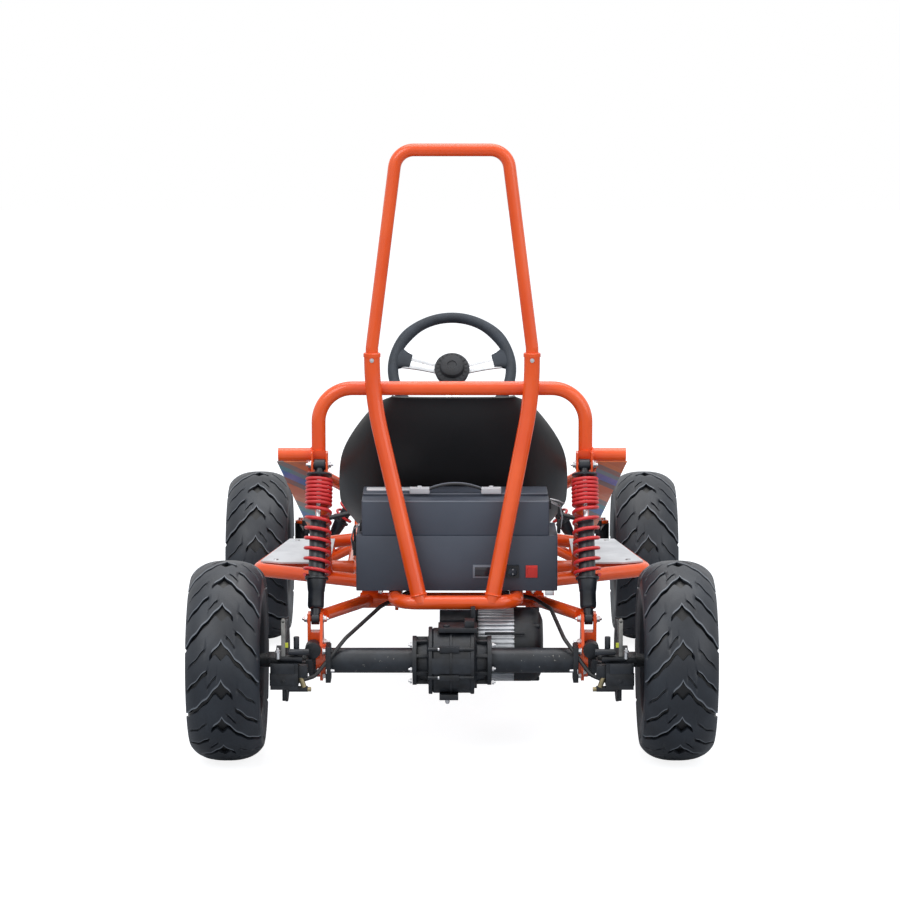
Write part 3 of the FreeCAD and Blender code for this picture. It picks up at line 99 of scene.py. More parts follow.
def mixed(made, amount, first, second):
    """One plain colour over a mixed one by an amount."""
    node = made.node_tree.nodes.new("ShaderNodeMix")
    node.data_type = "RGBA"
    made.node_tree.links.new(amount, node.inputs["Factor"])
    made.node_tree.links.new(first, node.inputs["A"])
    node.inputs["B"].default_value = (*second, 1)
    return node.outputs["Result"]


def range_of(made, source, low, high):
    """A grey value between two limits."""
    node = made.node_tree.nodes.new("ShaderNodeMapRange")
    node.inputs["To Min"].default_value = low
    node.inputs["To Max"].default_value = high
    made.node_tree.links.new(source, node.inputs["Value"])
    return node.outputs["Result"]


def bump(made, shader, height, strength, distance):
    """Small relief."""
    node = made.node_tree.nodes.new("ShaderNodeBump")
    node.inputs["Strength"].default_value = strength
    node.inputs["Distance"].default_value = distance
    made.node_tree.links.new(height, node.inputs["Height"])
    made.node_tree.links.new(node.outputs["Normal"], shader.inputs["Normal"])


def varied(name, dark, light, scale, roughness, grain, strength, metallic=0.0, coat=0.0):
    """A finish with slow colour variation, uneven gloss and a fine grain."""
    made, shader = material(name, light, 0.5, metallic, coat)
    links = made.node_tree.links
    slow = noise(made, scale)
    links.new(ramp(made, slow, [(0.35, dark), (0.65, light)]), shader.inputs["Base Color"])
    links.new(range_of(made, slow, roughness[0], roughness[1]), shader.inputs["Roughness"])
    bump(made, shader, noise(made, grain, 6), strength, 0.0004)
    return made


ORANGE = varied("orange_paint", (0.88, 0.085, 0.007), (0.96, 0.115, 0.014), 9, (0.20, 0.28), 700, 0.06,
                coat=0.25)
SPRING_RED = varied("red_coat", (0.60, 0.018, 0.020), (0.74, 0.032, 0.034), 30, (0.30, 0.42), 900, 0.08,
                    coat=0.2)
BLACK_COAT = varied("black_coat", (0.010, 0.011, 0.013), (0.022, 0.024, 0.028), 22, (0.34, 0.52), 800, 0.15)
CAST_BLACK = varied("cast_black", (0.003, 0.004, 0.006), (0.014, 0.017, 0.023), 60, (0.38, 0.60), 1500, 0.5)
SEAT_BLACK = varied("seat_plastic", (0.0015, 0.0018, 0.003), (0.003, 0.0035, 0.005), 6, (0.42, 0.52), 2600,
                    0.12)
CASE_GREY = varied("case_grey", (0.052, 0.063, 0.086), (0.068, 0.081, 0.108), 7, (0.42, 0.55), 1900, 0.22)
DAMPER_BLACK = varied("damper_black", (0.009, 0.011, 0.015), (0.020, 0.024, 0.032), 40, (0.28, 0.42), 900,
                      0.1)
SOFT_BLACK = varied("soft_black", (0.014, 0.015, 0.018), (0.026, 0.028, 0.033), 60, (0.58, 0.72), 2400, 0.3)
GRIP_GREY = varied("grip_foam", (0.016, 0.022, 0.031), (0.030, 0.039, 0.053), 40, (0.55, 0.70), 1800, 0.35)
ZINC = varied("zinc", (0.60, 0.60, 0.62), (0.80, 0.80, 0.82), 90, (0.22, 0.38), 1500, 0.1, metallic=0.9)
STEEL = varied("turned_steel", (0.36, 0.36, 0.38), (0.52, 0.52, 0.54), 50, (0.25, 0.42), 1300, 0.15,
               metallic=1.0)
CAST_ALUMINIUM = varied("cast_aluminium", (0.50, 0.52, 0.55), (0.66, 0.68, 0.71), 50, (0.34, 0.52), 1600,
                        0.35, metallic=0.75)
SPOKE_SILVER = varied("spoke_silver", (0.66, 0.68, 0.70), (0.80, 0.81, 0.83), 12, (0.26, 0.34), 1200, 0.05,
                      metallic=0.55, coat=0.2)
STEP_SHEET = varied("step_sheet", (0.50, 0.51, 0.53), (0.68, 0.69, 0.71), 16, (0.34, 0.48), 500, 0.1,
                    metallic=0.2)
LEVER_GREY = varied("lever_grey", (0.20, 0.20, 0.19), (0.34, 0.33, 0.31), 60, (0.40, 0.55), 1300, 0.2,
                    metallic=0.6)
BRASS = varied("cable_end", (0.30, 0.25, 0.14), (0.46, 0.38, 0.22), 80, (0.35, 0.5), 1300, 0.2, metallic=0.7)
CABLE_RUBBER = varied("cable_rubber", (0.012, 0.012, 0.013), (0.024, 0.024, 0.026), 80, (0.45, 0.6), 1500,
                      0.2)


def axle_paint():
    """Black tube paint with scattered chips, as on a used axle."""
    made, shader = material("axle_paint", (0.02, 0.02, 0.022), 0.42)
    links = made.node_tree.links
    chips = ramp(made, noise(made, 160, 9), [(0.66, (0, 0, 0)), (0.70, (1, 1, 1))])
    patches = ramp(made, noise(made, 9, 2), [(0.50, (0, 0, 0)), (0.62, (1, 1, 1))])
    both = made.node_tree.nodes.new("ShaderNodeMath")
    both.operation = "MULTIPLY"
    links.new(chips, both.inputs[0])
    links.new(patches, both.inputs[1])
    base = ramp(made, noise(made, 30), [(0.4, (0.010, 0.013, 0.018)), (0.6, (0.020, 0.025, 0.033))])
    links.new(mixed(made, both.outputs[0], base, (0.30, 0.29, 0.26)), shader.inputs["Base Color"])
    links.new(range_of(made, both.outputs[0], 0.40, 0.75), shader.inputs["Roughness"])
    bump(made, shader, noise(made, 1100, 5), 0.2, 0.0003)
    return made


AXLE_PAINT = axle_paint()


def tyre_rubber():
    """Rubber that is lighter along the edges of its lugs, partly scuffs and partly painted highlight, with
    painted shade in the grooves.
    """
    made, shader = material("tyre_rubber", (0.04, 0.042, 0.048), 0.62)
    links = made.node_tree.links
    base = ramp(made, noise(made, 14, 6), [(0.35, (0.009, 0.012, 0.018)), (0.7, (0.024, 0.030, 0.040))])
    # The lugs' edges are lightened here: partly scuffs, partly a painted highlight.
    worn_and_highlit = made.node_tree.nodes.new("ShaderNodeAttribute")
    worn_and_highlit.attribute_name = "worn_and_highlit"
    edges = ramp(made, worn_and_highlit.outputs["Fac"], [(0.72, (0, 0, 0)), (1.0, (0.9, 0.9, 0.9))])
    scuffs_and_highlights = mixed(made, edges, base, (0.24, 0.26, 0.29))
    # Painted shade: the grooves are darkened nearly to black.
    groove_shade = made.node_tree.nodes.new("ShaderNodeAttribute")
    groove_shade.attribute_name = "groove_shade"
    links.new(mixed(made, groove_shade.outputs["Fac"], scuffs_and_highlights, (0.002, 0.0025, 0.0035)), shader.inputs["Base Color"])
    links.new(range_of(made, noise(made, 40, 4), 0.34, 0.52), shader.inputs["Roughness"])
    bump(made, shader, noise(made, 420, 8), 0.35, 0.0006)
    return made


TYRE_RUBBER = tyre_rubber()


def panel_print():
    """A generic print for the side panels: leaning bands of orange, blue and grey."""
    made, shader = material("panel_print", (0.1, 0.4, 0.5), 0.32, coat=0.4)
    nodes = made.node_tree.nodes
    links = made.node_tree.links
    place = nodes.new("ShaderNodeTexCoord")
    turn = nodes.new("ShaderNodeMapping")
    turn.inputs["Rotation"].default_value = (0.3, 0.75, 0.45)
    wave = nodes.new("ShaderNodeTexWave")
    wave.wave_profile = "SAW"
    wave.inputs["Scale"].default_value = 3.4
    wave.inputs["Distortion"].default_value = 0.6
    wave.inputs["Detail"].default_value = 0
    links.new(place.outputs["Object"], turn.inputs["Vector"])
    links.new(turn.outputs["Vector"], wave.inputs["Vector"])
    bands = ramp(made, wave.outputs["Fac"], [
        (0.0, (0.72, 0.16, 0.03)), (0.28, (0.16, 0.15, 0.15)), (0.42, (0.0, 0.21, 0.66)),
        (0.60, (0.03, 0.34, 0.42)), (0.72, (0.25, 0.22, 0.21)), (0.86, (0.80, 0.20, 0.04)),
    ])
    bands.node.color_ramp.interpolation = "CONSTANT"
    links.new(bands, shader.inputs["Base Color"])
    bump(made, shader, noise(made, 900, 4), 0.06, 0.0003)
    return made


PANEL_PRINT = panel_print()


def plain(name, colour, roughness=0.4):
    """A small plain finish with a trace of grain."""
    made, shader = material(name, colour, roughness)
    bump(made, shader, noise(made, 1500, 4), 0.1, 0.0003)
    return made


ROCKER_RED = plain("rocker_red", (0.72, 0.035, 0.025), 0.3)
DISPLAY_DARK = plain("display_dark", (0.035, 0.032, 0.040), 0.12)
WHITE_STRIP = plain("white_strip", (0.72, 0.72, 0.74), 0.4)
YELLOW_MARK = plain("yellow_mark", (0.62, 0.66, 0.05), 0.5)
TRIM_BLACK = plain("trim_black", (0.012, 0.012, 0.014), 0.35)
# A light grey for the display's bezel, also used for painted highlights on the battery's edges and handle.
BEZEL_AND_HIGHLIGHT_GREY = plain("bezel_and_highlight_grey", (0.20, 0.22, 0.26), 0.4)


# Building helpers: every size below is in millimetres

PIECE_SHARP = math.radians(38)
SOLID_SHARP = math.radians(34)
TREAD_SHARP = math.radians(50)
BEVELLED = math.radians(35)
JOIN_DISTANCE = 1e-6
CORE = 0.1
WASHER = 0.9


def around(count, start=0.0):
    """Equal angles round a full turn."""
    return [math.tau * step / count + start for step in range(count)]


def piece(name, mesh, finish, body, replaced=()):
    """An object with a finish, which rides on a body and hides the imported parts that it replaces."""
    made = bpy.data.objects.new(name, mesh)
    bpy.context.scene.collection.objects.link(made)
    mesh.materials.append(finish)
    mesh.shade_smooth()
    mesh.set_sharp_from_angle(angle=PIECE_SHARP)
    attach(made, body)
    if replaced:
        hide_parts(*replaced)
    return made


class Shape:
    """Vertices and faces that are gathered into one mesh."""

    def __init__(self):
        self.points = []
        self.faces = []

    def add(self, points, faces):
        """Takes in more geometry."""
        start = len(self.points)
        self.points.extend(Vector(point) for point in points)
        self.faces.extend(tuple(index + start for index in face) for face in faces)
        return self

    def grid(self, rows, closed_across=False, closed_along=False):
        """Skins rows of points."""
        wide = len(rows[0])
        points = [point for row in rows for point in row]
        faces = []
        for i in range(len(rows) if closed_along else len(rows) - 1):
            for j in range(wide if closed_across else wide - 1):
                k = (i + 1) % len(rows)
                m = (j + 1) % wide
                faces.append((i * wide + j, i * wide + m, k * wide + m, k * wide + j))
        return self.add(points, faces)

    def turned(self, profile, place=Matrix(), steps=40):
        """A lathe piece: the profile is (distance along local Z, radius), with CORE at the axis."""
        rows = []
        for angle in around(steps):
            rows.append([place @ Vector((r * math.cos(angle), r * math.sin(angle), z)) for z, r in profile])
        return self.grid(rows, closed_along=True)

    def prism(self, outline, low, high, place=Matrix()):
        """An extruded outline in local XY."""
        count = len(outline)
        points = [place @ Vector((x, y, z)) for z in (low, high) for x, y in outline]
        faces = [tuple(reversed(range(count))), tuple(range(count, 2 * count))]
        faces += [(i, (i + 1) % count, count + (i + 1) % count, count + i) for i in range(count)]
        return self.add(points, faces)

    def slab(self, low, high):
        """A plain block between two corners."""
        outline = [(low[0], low[1]), (high[0], low[1]), (high[0], high[1]), (low[0], high[1])]
        return self.prism(outline, low[2], high[2])

    def tube(self, line, radius, steps=16, closed=False):
        """A round bar along a list of points; the radius may be a list."""
        count = len(line)
        rows = []
        normal = None
        for index in range(count):
            before = line[index - 1] if index or closed else line[index]
            after = line[(index + 1) % count] if index < count - 1 or closed else line[index]
            along = (Vector(after) - Vector(before)).normalized()
            if normal is None:
                normal = along.orthogonal().normalized()
            normal = (normal - along * normal.dot(along)).normalized()
            side = along.cross(normal)
            r = radius[index] if isinstance(radius, list) else radius
            rows.append([Vector(line[index]) + (normal * math.cos(a) + side * math.sin(a)) * r
                         for a in around(steps)])
        start = len(self.points)
        self.grid(rows, closed_across=True, closed_along=closed)
        if not closed:
            last = start + (count - 1) * steps
            self.faces.append(tuple(reversed(range(start, start + steps))))
            self.faces.append(tuple(range(last, last + steps)))
        return self

    def mirrored(self):
        """The same shape on the other side of the vehicle."""
        other = Shape()
        other.points = [Vector((-p.x, p.y, p.z)) for p in self.points]
        other.faces = [tuple(reversed(face)) for face in self.faces]
        return other

    def joined(self, other):
        """Takes in another shape."""
        return self.add(other.points, other.faces)

    def mesh(self, name, bevel=0.0, segments=2):
        """The mesh in metres, with its closed edges rounded by a bevel."""
        made = bpy.data.meshes.new(name)
        made.from_pydata([point * MM for point in self.points], [], self.faces)
        work = bmesh.new()
        work.from_mesh(made)
        bmesh.ops.remove_doubles(work, verts=work.verts, dist=JOIN_DISTANCE)
        bmesh.ops.recalc_face_normals(work, faces=work.faces)
        if bevel:
            sharp = [edge for edge in work.edges
                     if len(edge.link_faces) == 2 and edge.calc_face_angle(0) > BEVELLED]
            bmesh.ops.bevel(work, geom=sharp, offset=bevel * MM, segments=segments, affect="EDGES",
                            profile=0.5, clamp_overlap=True)
        work.to_mesh(made)
        work.free()
        return made


def facing(place, direction, up=UPWARD):
    """A matrix whose local Z points along a direction."""
    z = Vector(direction).normalized()
    if abs(z.dot(up)) > 0.99:
        up = FORWARD
    x = up.cross(z).normalized()
    y = z.cross(x)
    turn = Matrix((x, y, z)).transposed().to_4x4()
    return Matrix.Translation(Vector(place)) @ turn


def bolt(shape, place, direction, radius=4.0, stem=5.0, washer=True):
    """A hexagon head with its washer and the bolt's end, seated at a place and pointing outwards."""
    seat = facing(place, direction)
    if washer:
        shape.turned([(0, CORE), (0, radius * 1.75), (WASHER, radius * 1.75), (WASHER, CORE)], seat, 20)
    across = radius * 1.3
    top = WASHER + radius * 0.95
    shape.prism([(across * math.cos(a), across * math.sin(a)) for a in around(6)], WASHER, top, seat)
    if stem:
        end = top + stem
        thread = radius * 0.62
        shape.turned([(top, CORE), (top, thread), (end - 1, thread), (end, radius * 0.45), (end, CORE)],
                     seat, 14)


def both_sides(shape):
    """A shape with its mirror image."""
    return shape.joined(shape.mirrored())


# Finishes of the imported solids, with smooth faces

PAINTED_NODES = ("lower_frame", "side_loops", "cross_hoop", "rear_braces", "roll_bar", "dash_hoop",
                 "nose_hoop", "side_rails", "front_bumper", "trailing_arms", "front_arms")
FINISH_OF = {name: ORANGE for name in PAINTED_NODES}
FINISH_OF.update({
    "floor_pan": BLACK_COAT, "step_plates": STEP_SHEET, "side_panels": PANEL_PRINT, "nose_panel": SOFT_BLACK,
    "seat": SEAT_BLACK, "battery_tray": CASE_GREY, "battery_case": CASE_GREY,
    "battery_fittings": TRIM_BLACK, "charge_socket": TRIM_BLACK,
    "gear_housing": CAST_BLACK, "motor": CAST_ALUMINIUM, "axle_tubes": AXLE_PAINT,
    "rear_dampers": DAMPER_BLACK, "rear_springs": SPRING_RED,
    "front_dampers": DAMPER_BLACK, "front_springs": SPRING_RED,
    "brake_calipers": CAST_BLACK, "brake_cables": CABLE_RUBBER,
    "pedals": STEEL, "steering_column": BLACK_COAT, "steering_wheel": GRIP_GREY,
})
for side in ("left", "right"):
    FINISH_OF[f"{side}_knuckle"] = CAST_BLACK
    FINISH_OF[f"rear_{side}_half_shaft"] = CAST_BLACK
    FINISH_OF[f"{side}_tie_rod"] = BLACK_COAT
    for end in ("rear", "front"):
        FINISH_OF[f"{end}_{side}_tyre"] = TYRE_RUBBER
        FINISH_OF[f"{end}_{side}_rim"] = BLACK_COAT
for part, finish in FINISH_OF.items():
    solid = NODES[part]
    solid.data.materials.clear()
    solid.data.materials.append(finish)
    solid.data.shade_smooth()
    solid.data.set_sharp_from_angle(angle=SOLID_SHARP)


# Tyres: a grid that follows the chevrons, so that every groove has crisp edges

PITCHES = 16
SWEEP = math.radians(28)
SECTION_HALF = 62.0
SECTION_TURN = math.radians(148)
SECTION_STEPS = 300
SECTION_POWER = 2 / 2.5
CROWN = 168.0
LUG = 6.8
MIDDLE_RADIUS = 122.0
BEAD = 78.0
TREAD_EDGE = 63.0
TREAD_END = 71.0
RIPPLE = 0.022
RIPPLE_LENGTH = 2.9
GROOVE_WALL = 0.022
# Place, breadth and height of each ring on the side wall
SIDE_RINGS = ((88, 2.6, 0.9), (112, 2.2, 0.7))
# Places of the grid's columns along the section, from the crown
COLUMN_PLACES = (0, 1.5, 3, 5, 7, 9, 11, 13, 15, 17, 19, 22, 24, 26, 29, 32, 35, 38, 41, 44, 46, 48, 51, 54,
                 57, 59, 61, TREAD_EDGE, 65, 67, 69, TREAD_END, 74, 78, 83, 86, 88, 90, 96, 104, 110, 112,
                 114, 120, 128, 135)


def section_point(turn):
    """A point of the carcass section: distance across and radius, by an angle from the crown."""
    across = SECTION_HALF * math.copysign(abs(math.sin(turn)) ** SECTION_POWER, turn)
    rise = CROWN - MIDDLE_RADIUS if abs(turn) < math.pi / 2 else MIDDLE_RADIUS - BEAD
    return across, MIDDLE_RADIUS + rise * math.copysign(abs(math.cos(turn)) ** SECTION_POWER, math.cos(turn))


def section_columns():
    """Columns of the tyre's grid: distance across, radius, outward normal, and place along the section."""
    steps = range(SECTION_STEPS, 2 * SECTION_STEPS + 1)
    fine = [section_point(SECTION_TURN * (i / SECTION_STEPS - 1)) for i in steps]
    lengths = [0.0]
    for first, second in zip(fine, fine[1:]):
        lengths.append(lengths[-1] + math.dist(first, second))
    right = [(0.0, CROWN, Vector((0, 1)), 0.0)]
    for place in COLUMN_PLACES[1:]:
        if place >= lengths[-1]:
            break
        index = next(i for i, length in enumerate(lengths) if length >= place)
        share = (place - lengths[index - 1]) / (lengths[index] - lengths[index - 1])
        first = Vector(fine[index - 1])
        second = Vector(fine[index])
        point = first.lerp(second, share)
        along = (second - first).normalized()
        right.append((point.x, point.y, Vector((abs(along.y), along.x)), place))
    left = [(-x, r, Vector((-n.x, n.y)), -s) for x, r, n, s in right[1:]]
    return list(reversed(left)) + right


def smooth_step(value, low, high):
    """0 below low, 1 above high, eased between."""
    share = min(1.0, max(0.0, (value - low) / (high - low)))
    return share * share * (3 - 2 * share)


def band(value, start, end, ease=4):
    """1 between two limits, eased at both."""
    return smooth_step(value, start, start + ease) * (1 - smooth_step(value, end - ease, end))


def tread_rows(far, long_side):
    """The rows of one pitch at a distance from the crown: place in the pitch, depth, how scuffed and highlit,
    and how much painted shade lies in the groove.

    Every pitch has one main groove, which runs to the shoulder on its long side. On the other side it is
    short, and a separate groove lies below its end. A third, shallow one lies further on.
    """
    width = 0.10 + 0.36 * max(0.0, 1 - far / 10) ** 1.3
    low = max(0.26, width + 0.07)
    main = 1.0 if long_side else 1 - smooth_step(far, 15, 19)
    apart = 0.0 if long_side else band(far, 21, 62)
    short = band(far, 24, 57) if long_side else band(far, 6, 24)
    # Third entry: lighter lug edges, partly scuffs and partly painted highlight; fourth entry: painted shade
    # in the grooves.
    return (
        (-GROOVE_WALL, 0, main, 0),
        (0, main, 0, main),
        (width / 2, main, 0, main),
        (width, main, 0, main),
        (width + GROOVE_WALL, 0, 0.3 * main, 0),
        (low - 0.02, 0, apart, 0),
        (low, 0.8 * apart, 0, apart),
        (low + 0.09, 0.8 * apart, 0, apart),
        (low + 0.11, 0, 0.2 * apart, 0),
        (0.66, 0, 0.8 * short, 0),
        (0.68, 0.45 * short, 0, 0.6 * short),
        (0.73, 0.45 * short, 0, 0.6 * short),
        (0.75, 0, 0, 0),
    )


def tyre_shape():
    """The whole tyre about the origin, with how scuffed and highlit each point is and how much painted groove
    shade it has.

    The long sides of the grooves change places from one pitch to the next.
    """
    columns = section_columns()
    rows = []
    shades = {"worn_and_highlit": [], "groove_shade": []}
    for pitch in range(PITCHES):
        pattern = [tread_rows(abs(s), (s > 0) == (pitch % 2 == 0)) for x, r, normal, s in columns]
        for kind in range(len(pattern[0])):
            row = []
            for (x, r, normal, s), entries in zip(columns, pattern):
                phase, depth, worn_and_highlit, groove_shade = entries[kind]
                far = abs(s)
                phase += RIPPLE * math.sin(far / RIPPLE_LENGTH)
                edge = smooth_step(far, TREAD_EDGE + 1, TREAD_END)
                height = LUG * (1 - depth) * (1 - edge)
                height += sum(high * math.exp(-((far - at) / wide) ** 2) for at, wide, high in SIDE_RINGS)
                swept = SWEEP * (min(far, TREAD_END) / TREAD_END) ** 0.9
                angle = math.tau * (pitch + phase) / PITCHES + swept
                across = x + normal.x * height
                radius = r + normal.y * height
                row.append(Vector((across, -radius * math.sin(angle), radius * math.cos(angle))))
                # Lighter lug edges (partly scuffs, partly painted highlight) and painted groove shade, both
                # fading out at the tread's edge.
                shades["worn_and_highlit"].append(worn_and_highlit * (1 - edge))
                shades["groove_shade"].append(groove_shade * (1 - edge))
            rows.append(row)
    return Shape().grid(rows, closed_along=True), shades


TYRE, TYRE_SHADES = tyre_shape()


def placed_mesh(shape, name, side, x, y):
    """A wheel part's mesh on one side of the vehicle."""
    points = [Vector((p.x * side + x * side, p.y + y, p.z + AXLE_Z)) for p in shape.points]
    return Shape().add(points, shape.faces).mesh(name)


def wheel_trim():
    """Nuts, cap and valve of a wheel about the origin, its outside at +X."""
    shape = Shape()
    for angle in around(4, 0.4):
        bolt(shape, (24, 19.5 * math.cos(angle), 19.5 * math.sin(angle)), RIGHT, 3.6, 4)
    shape.turned([(24, CORE), (24, 12), (30, 12), (33, 9), (34, CORE)], facing((0, 0, 0), RIGHT), 28)
    valve = facing((20, 0, 58), (1, 0, -0.35))
    shape.turned([(0, CORE), (0, 3.4), (9, 2.6), (20, 2.2), (20, 3.0), (27, 3.0), (28, CORE)], valve, 14)
    return shape


WHEEL_TRIM = wheel_trim()
for word, side in (("left", -1), ("right", 1)):
    for end, track, y in (("rear", REAR_TRACK, REAR_AXLE_Y), ("front", FRONT_TRACK, FRONT_AXLE_Y)):
        body = f"{end}_{word}_wheel"
        tyre = f"{end}_{word}_tyre"
        made = piece(f"{tyre}_tread", placed_mesh(TYRE, tyre, side, track, y), TYRE_RUBBER, body,
                     (tyre,))
        made.data.set_sharp_from_angle(angle=TREAD_SHARP)
        for shade, values in TYRE_SHADES.items():
            made.data.attributes.new(shade, "FLOAT", "POINT").data.foreach_set("value", values)
        piece(f"{end}_{word}_wheel_nuts", placed_mesh(WHEEL_TRIM, "nuts", side, track, y), ZINC, body)


# Springs and dampers

FLAT_TURNS = 0.6
STEPS_IN_TURN = 26


def helix(low, high, radius, turns, tight_turns, tight_pitch):
    """Points of a spring between two seats; its upper turns are close together."""
    points = []
    steps = int(turns * STEPS_IN_TURN)
    flat = 2 * FLAT_TURNS
    wide = (high - low - tight_turns * tight_pitch - flat * tight_pitch) / (turns - tight_turns - flat)
    z = low
    for step in range(steps + 1):
        turn = turns * step / steps
        points.append(Vector((radius * math.cos(math.tau * turn), radius * math.sin(math.tau * turn), z)))
        pitch = wide
        if turn < FLAT_TURNS or turn > turns - tight_turns:
            pitch = tight_pitch
        z += pitch * turns / steps
    top = points[-1].z
    return [Vector((p.x, p.y, low + (p.z - low) * (high - low) / (top - low))) for p in points]


def spring_and_damper(foot, top, eye_axis, r, spring_radius, wire, turns, tight_turns, tight_pitch):
    """Coil, sleeve and rod between a foot eye and a top eye; r is the radius of the damper's body."""
    length = (top - foot).length
    lean = facing(foot, top - foot, FORWARD)
    low = length * 0.27 + 0.5
    high = length - 21.5
    wound = helix(low + wire, high - wire, spring_radius, turns, tight_turns, tight_pitch)
    coil = Shape().tube([lean @ p for p in wound], wire, 10)
    sleeve = Shape()
    sleeve.turned([(17, 5), (18, r - 3), (20, r - 0.8), (23, r), (low - 27, r), (low - 26, r + 0.6),
                   (low - 6, r + 2.8), (low - 5.6, r + 5.4), (low - 4.8, r + 6.2), (low - 1.6, r + 6.2),
                   (low - 1, r + 5.4), (low - 0.8, r + 0.2), (low + length * 0.36, r),
                   (low + length * 0.365, r - 1), (low + length * 0.37, 5)], lean, 44)
    sleeve.turned([(high + 0.8, 5), (high + 0.8, r + 7.4), (high + 1.6, r + 8), (high + 4, r + 8),
                   (high + 5, r + 6), (high + 6, 9), (high + 11, 8), (high + 12, 6)], lean, 44)
    for end, half in ((0, 7), (length, 10)):
        eye = facing(lean @ Vector((0, 0, end)), eye_axis)
        sleeve.turned([(-half, 5.6), (-half, 9.2), (-half + 1, 10), (half - 1, 10), (half, 9.2), (half, 5.6)],
                      eye, 36)
    sleeve.turned([(4, 0.5), (4, 8.4), (18, 8.8), (18, 0.5)], lean, 24)
    sleeve.turned([(length - 22, 0.5), (length - 22, 7), (length - 7, 7), (length - 7, 0.5)], lean, 24)
    rod = Shape().turned([(low + length * 0.34, 4.4), (high + 2, 4.4)], lean, 20)
    return coil, sleeve, rod


DAMPERS = {
    "rear": spring_and_damper(DAMPER_FOOT, DAMPER_TOP, RIGHT, r=14.4, spring_radius=21.4, wire=3.1,
                              turns=14.3, tight_turns=7.2, tight_pitch=7.3),
    "front": spring_and_damper(FRONT_DAMPER_FOOT, FRONT_DAMPER_TOP, FORWARD, r=10.5, spring_radius=17.5,
                               wire=2.9, turns=8.5, tight_turns=2.2, tight_pitch=6.8),
}
for end, (coil, sleeve, rod) in DAMPERS.items():
    piece(f"{end}_spring_coils", both_sides(coil).mesh("coils"), SPRING_RED, "chassis",
          (f"{end}_springs",))
    piece(f"{end}_damper_sleeves", both_sides(sleeve).mesh("sleeves"), DAMPER_BLACK, "chassis",
          (f"{end}_dampers",))
    piece(f"{end}_damper_rods", both_sides(rod).mesh("rods"), ZINC, "chassis")


def suspension_bolts():
    """Bolts through the rear dampers' eyes, the pivots, the axle plates and the front arms, on both sides."""
    shape = Shape()
    for eye, reach in ((DAMPER_TOP, 15), (DAMPER_FOOT, 14)):
        for out in (1, -1):
            bolt(shape, eye + RIGHT * (out * reach), RIGHT * out, 4.6, 4)
    bolt(shape, (168, -300, 232), RIGHT, 4.6, 4)
    for y, z in ((-583, 152), (-545, 150), (-590, 196), (-541, 203)):
        bolt(shape, (225.3, y, z), -RIGHT, 4.0, 7)
    for out in (-1, 1):
        bolt(shape, (142, FRONT_AXLE_Y + out * 57, 228), FORWARD * out, 4.4, 3)
    for z, out in ((133, -1), (249, 1)):
        bolt(shape, (313, FRONT_AXLE_Y, z + out * 0.2), UPWARD * out, 5.2, 0)
    return both_sides(shape)


piece("suspension_bolts", suspension_bolts().mesh("bolts"), ZINC, "chassis")


# Steering wheel: grip, silver spokes with their covers, and hub cap

WHEEL_UP = Vector((0, math.sin(COLUMN_SLOPE), math.cos(COLUMN_SLOPE)))
WHEEL_OUT = Vector((0, -math.cos(COLUMN_SLOPE), math.sin(COLUMN_SLOPE)))
WHEEL_PLACE = Matrix.Translation(WHEEL_CENTRE) @ Matrix((RIGHT, WHEEL_UP, WHEEL_OUT)).transposed().to_4x4()
GRIP_RADIUS = 114
GRIP_THICKNESS = 10.3
HAND_ANGLES = (40, 140)
SPOKE_ANGLES = (13, 167, 270)
SPOKE_START = 24
SPOKE_LENGTH = GRIP_RADIUS - 30
SPOKE_STEPS = 12
SPOKE_SEAM = 0.01
COVER_STEPS = 8
COVER_POINTS = 20
SCREW_RING = 27.5


def grip_shape():
    """The ring, thicker where the hands hold it."""
    line = []
    radii = []
    for angle in around(120):
        hand = sum(math.exp(-((math.degrees(angle) - place) / 13) ** 2) for place in HAND_ANGLES)
        line.append(WHEEL_PLACE @ Vector((GRIP_RADIUS * math.cos(angle), GRIP_RADIUS * math.sin(angle), 0)))
        radii.append(GRIP_THICKNESS + 1.5 * hand)
    return Shape().tube(line, radii, 20, closed=True)


def spoke_shape():
    """Three flat spokes in two halves each, the side ones leaning up."""
    shape = Shape()
    for turn in SPOKE_ANGLES:
        spin = WHEEL_PLACE @ Matrix.Rotation(math.radians(turn), 4, "Z")
        for side in (-1, 1):
            rows = []
            for step in range(SPOKE_STEPS + 1):
                x = SPOKE_START + SPOKE_LENGTH * step / SPOKE_STEPS
                share = step / SPOKE_STEPS
                inner = side * SPOKE_SEAM
                outer = side * (13 + 8 * share ** 2)
                lift = -8 + 7 * share
                corners = ((inner, lift + 2), (outer, lift + 2), (outer, lift - 2), (inner, lift - 2))
                rows.append([spin @ Vector((x, y, z)) for y, z in corners])
            shape.grid(rows, closed_across=True)
    return shape


def cover_shape():
    """Rubber that runs from the ring over the outer ends of the spokes."""
    shape = Shape()
    for turn in SPOKE_ANGLES:
        spin = WHEEL_PLACE @ Matrix.Rotation(math.radians(turn), 4, "Z")
        rows = []
        for step in range(COVER_STEPS + 1):
            share = step / COVER_STEPS
            half = 16 + 12 * share ** 2.2
            thick = 4.2 + 4.5 * share
            lift = -3.5 + 2.5 * share
            row = []
            for angle in around(COVER_POINTS):
                across = half * math.copysign(abs(math.cos(angle)) ** 0.6, math.cos(angle))
                row.append(spin @ Vector((81 + 27 * share, across, lift + thick * math.sin(angle))))
            rows.append(row)
        first = len(shape.points)
        shape.grid(rows, closed_across=True)
        shape.faces.append(tuple(range(first, first + COVER_POINTS)))
    return shape


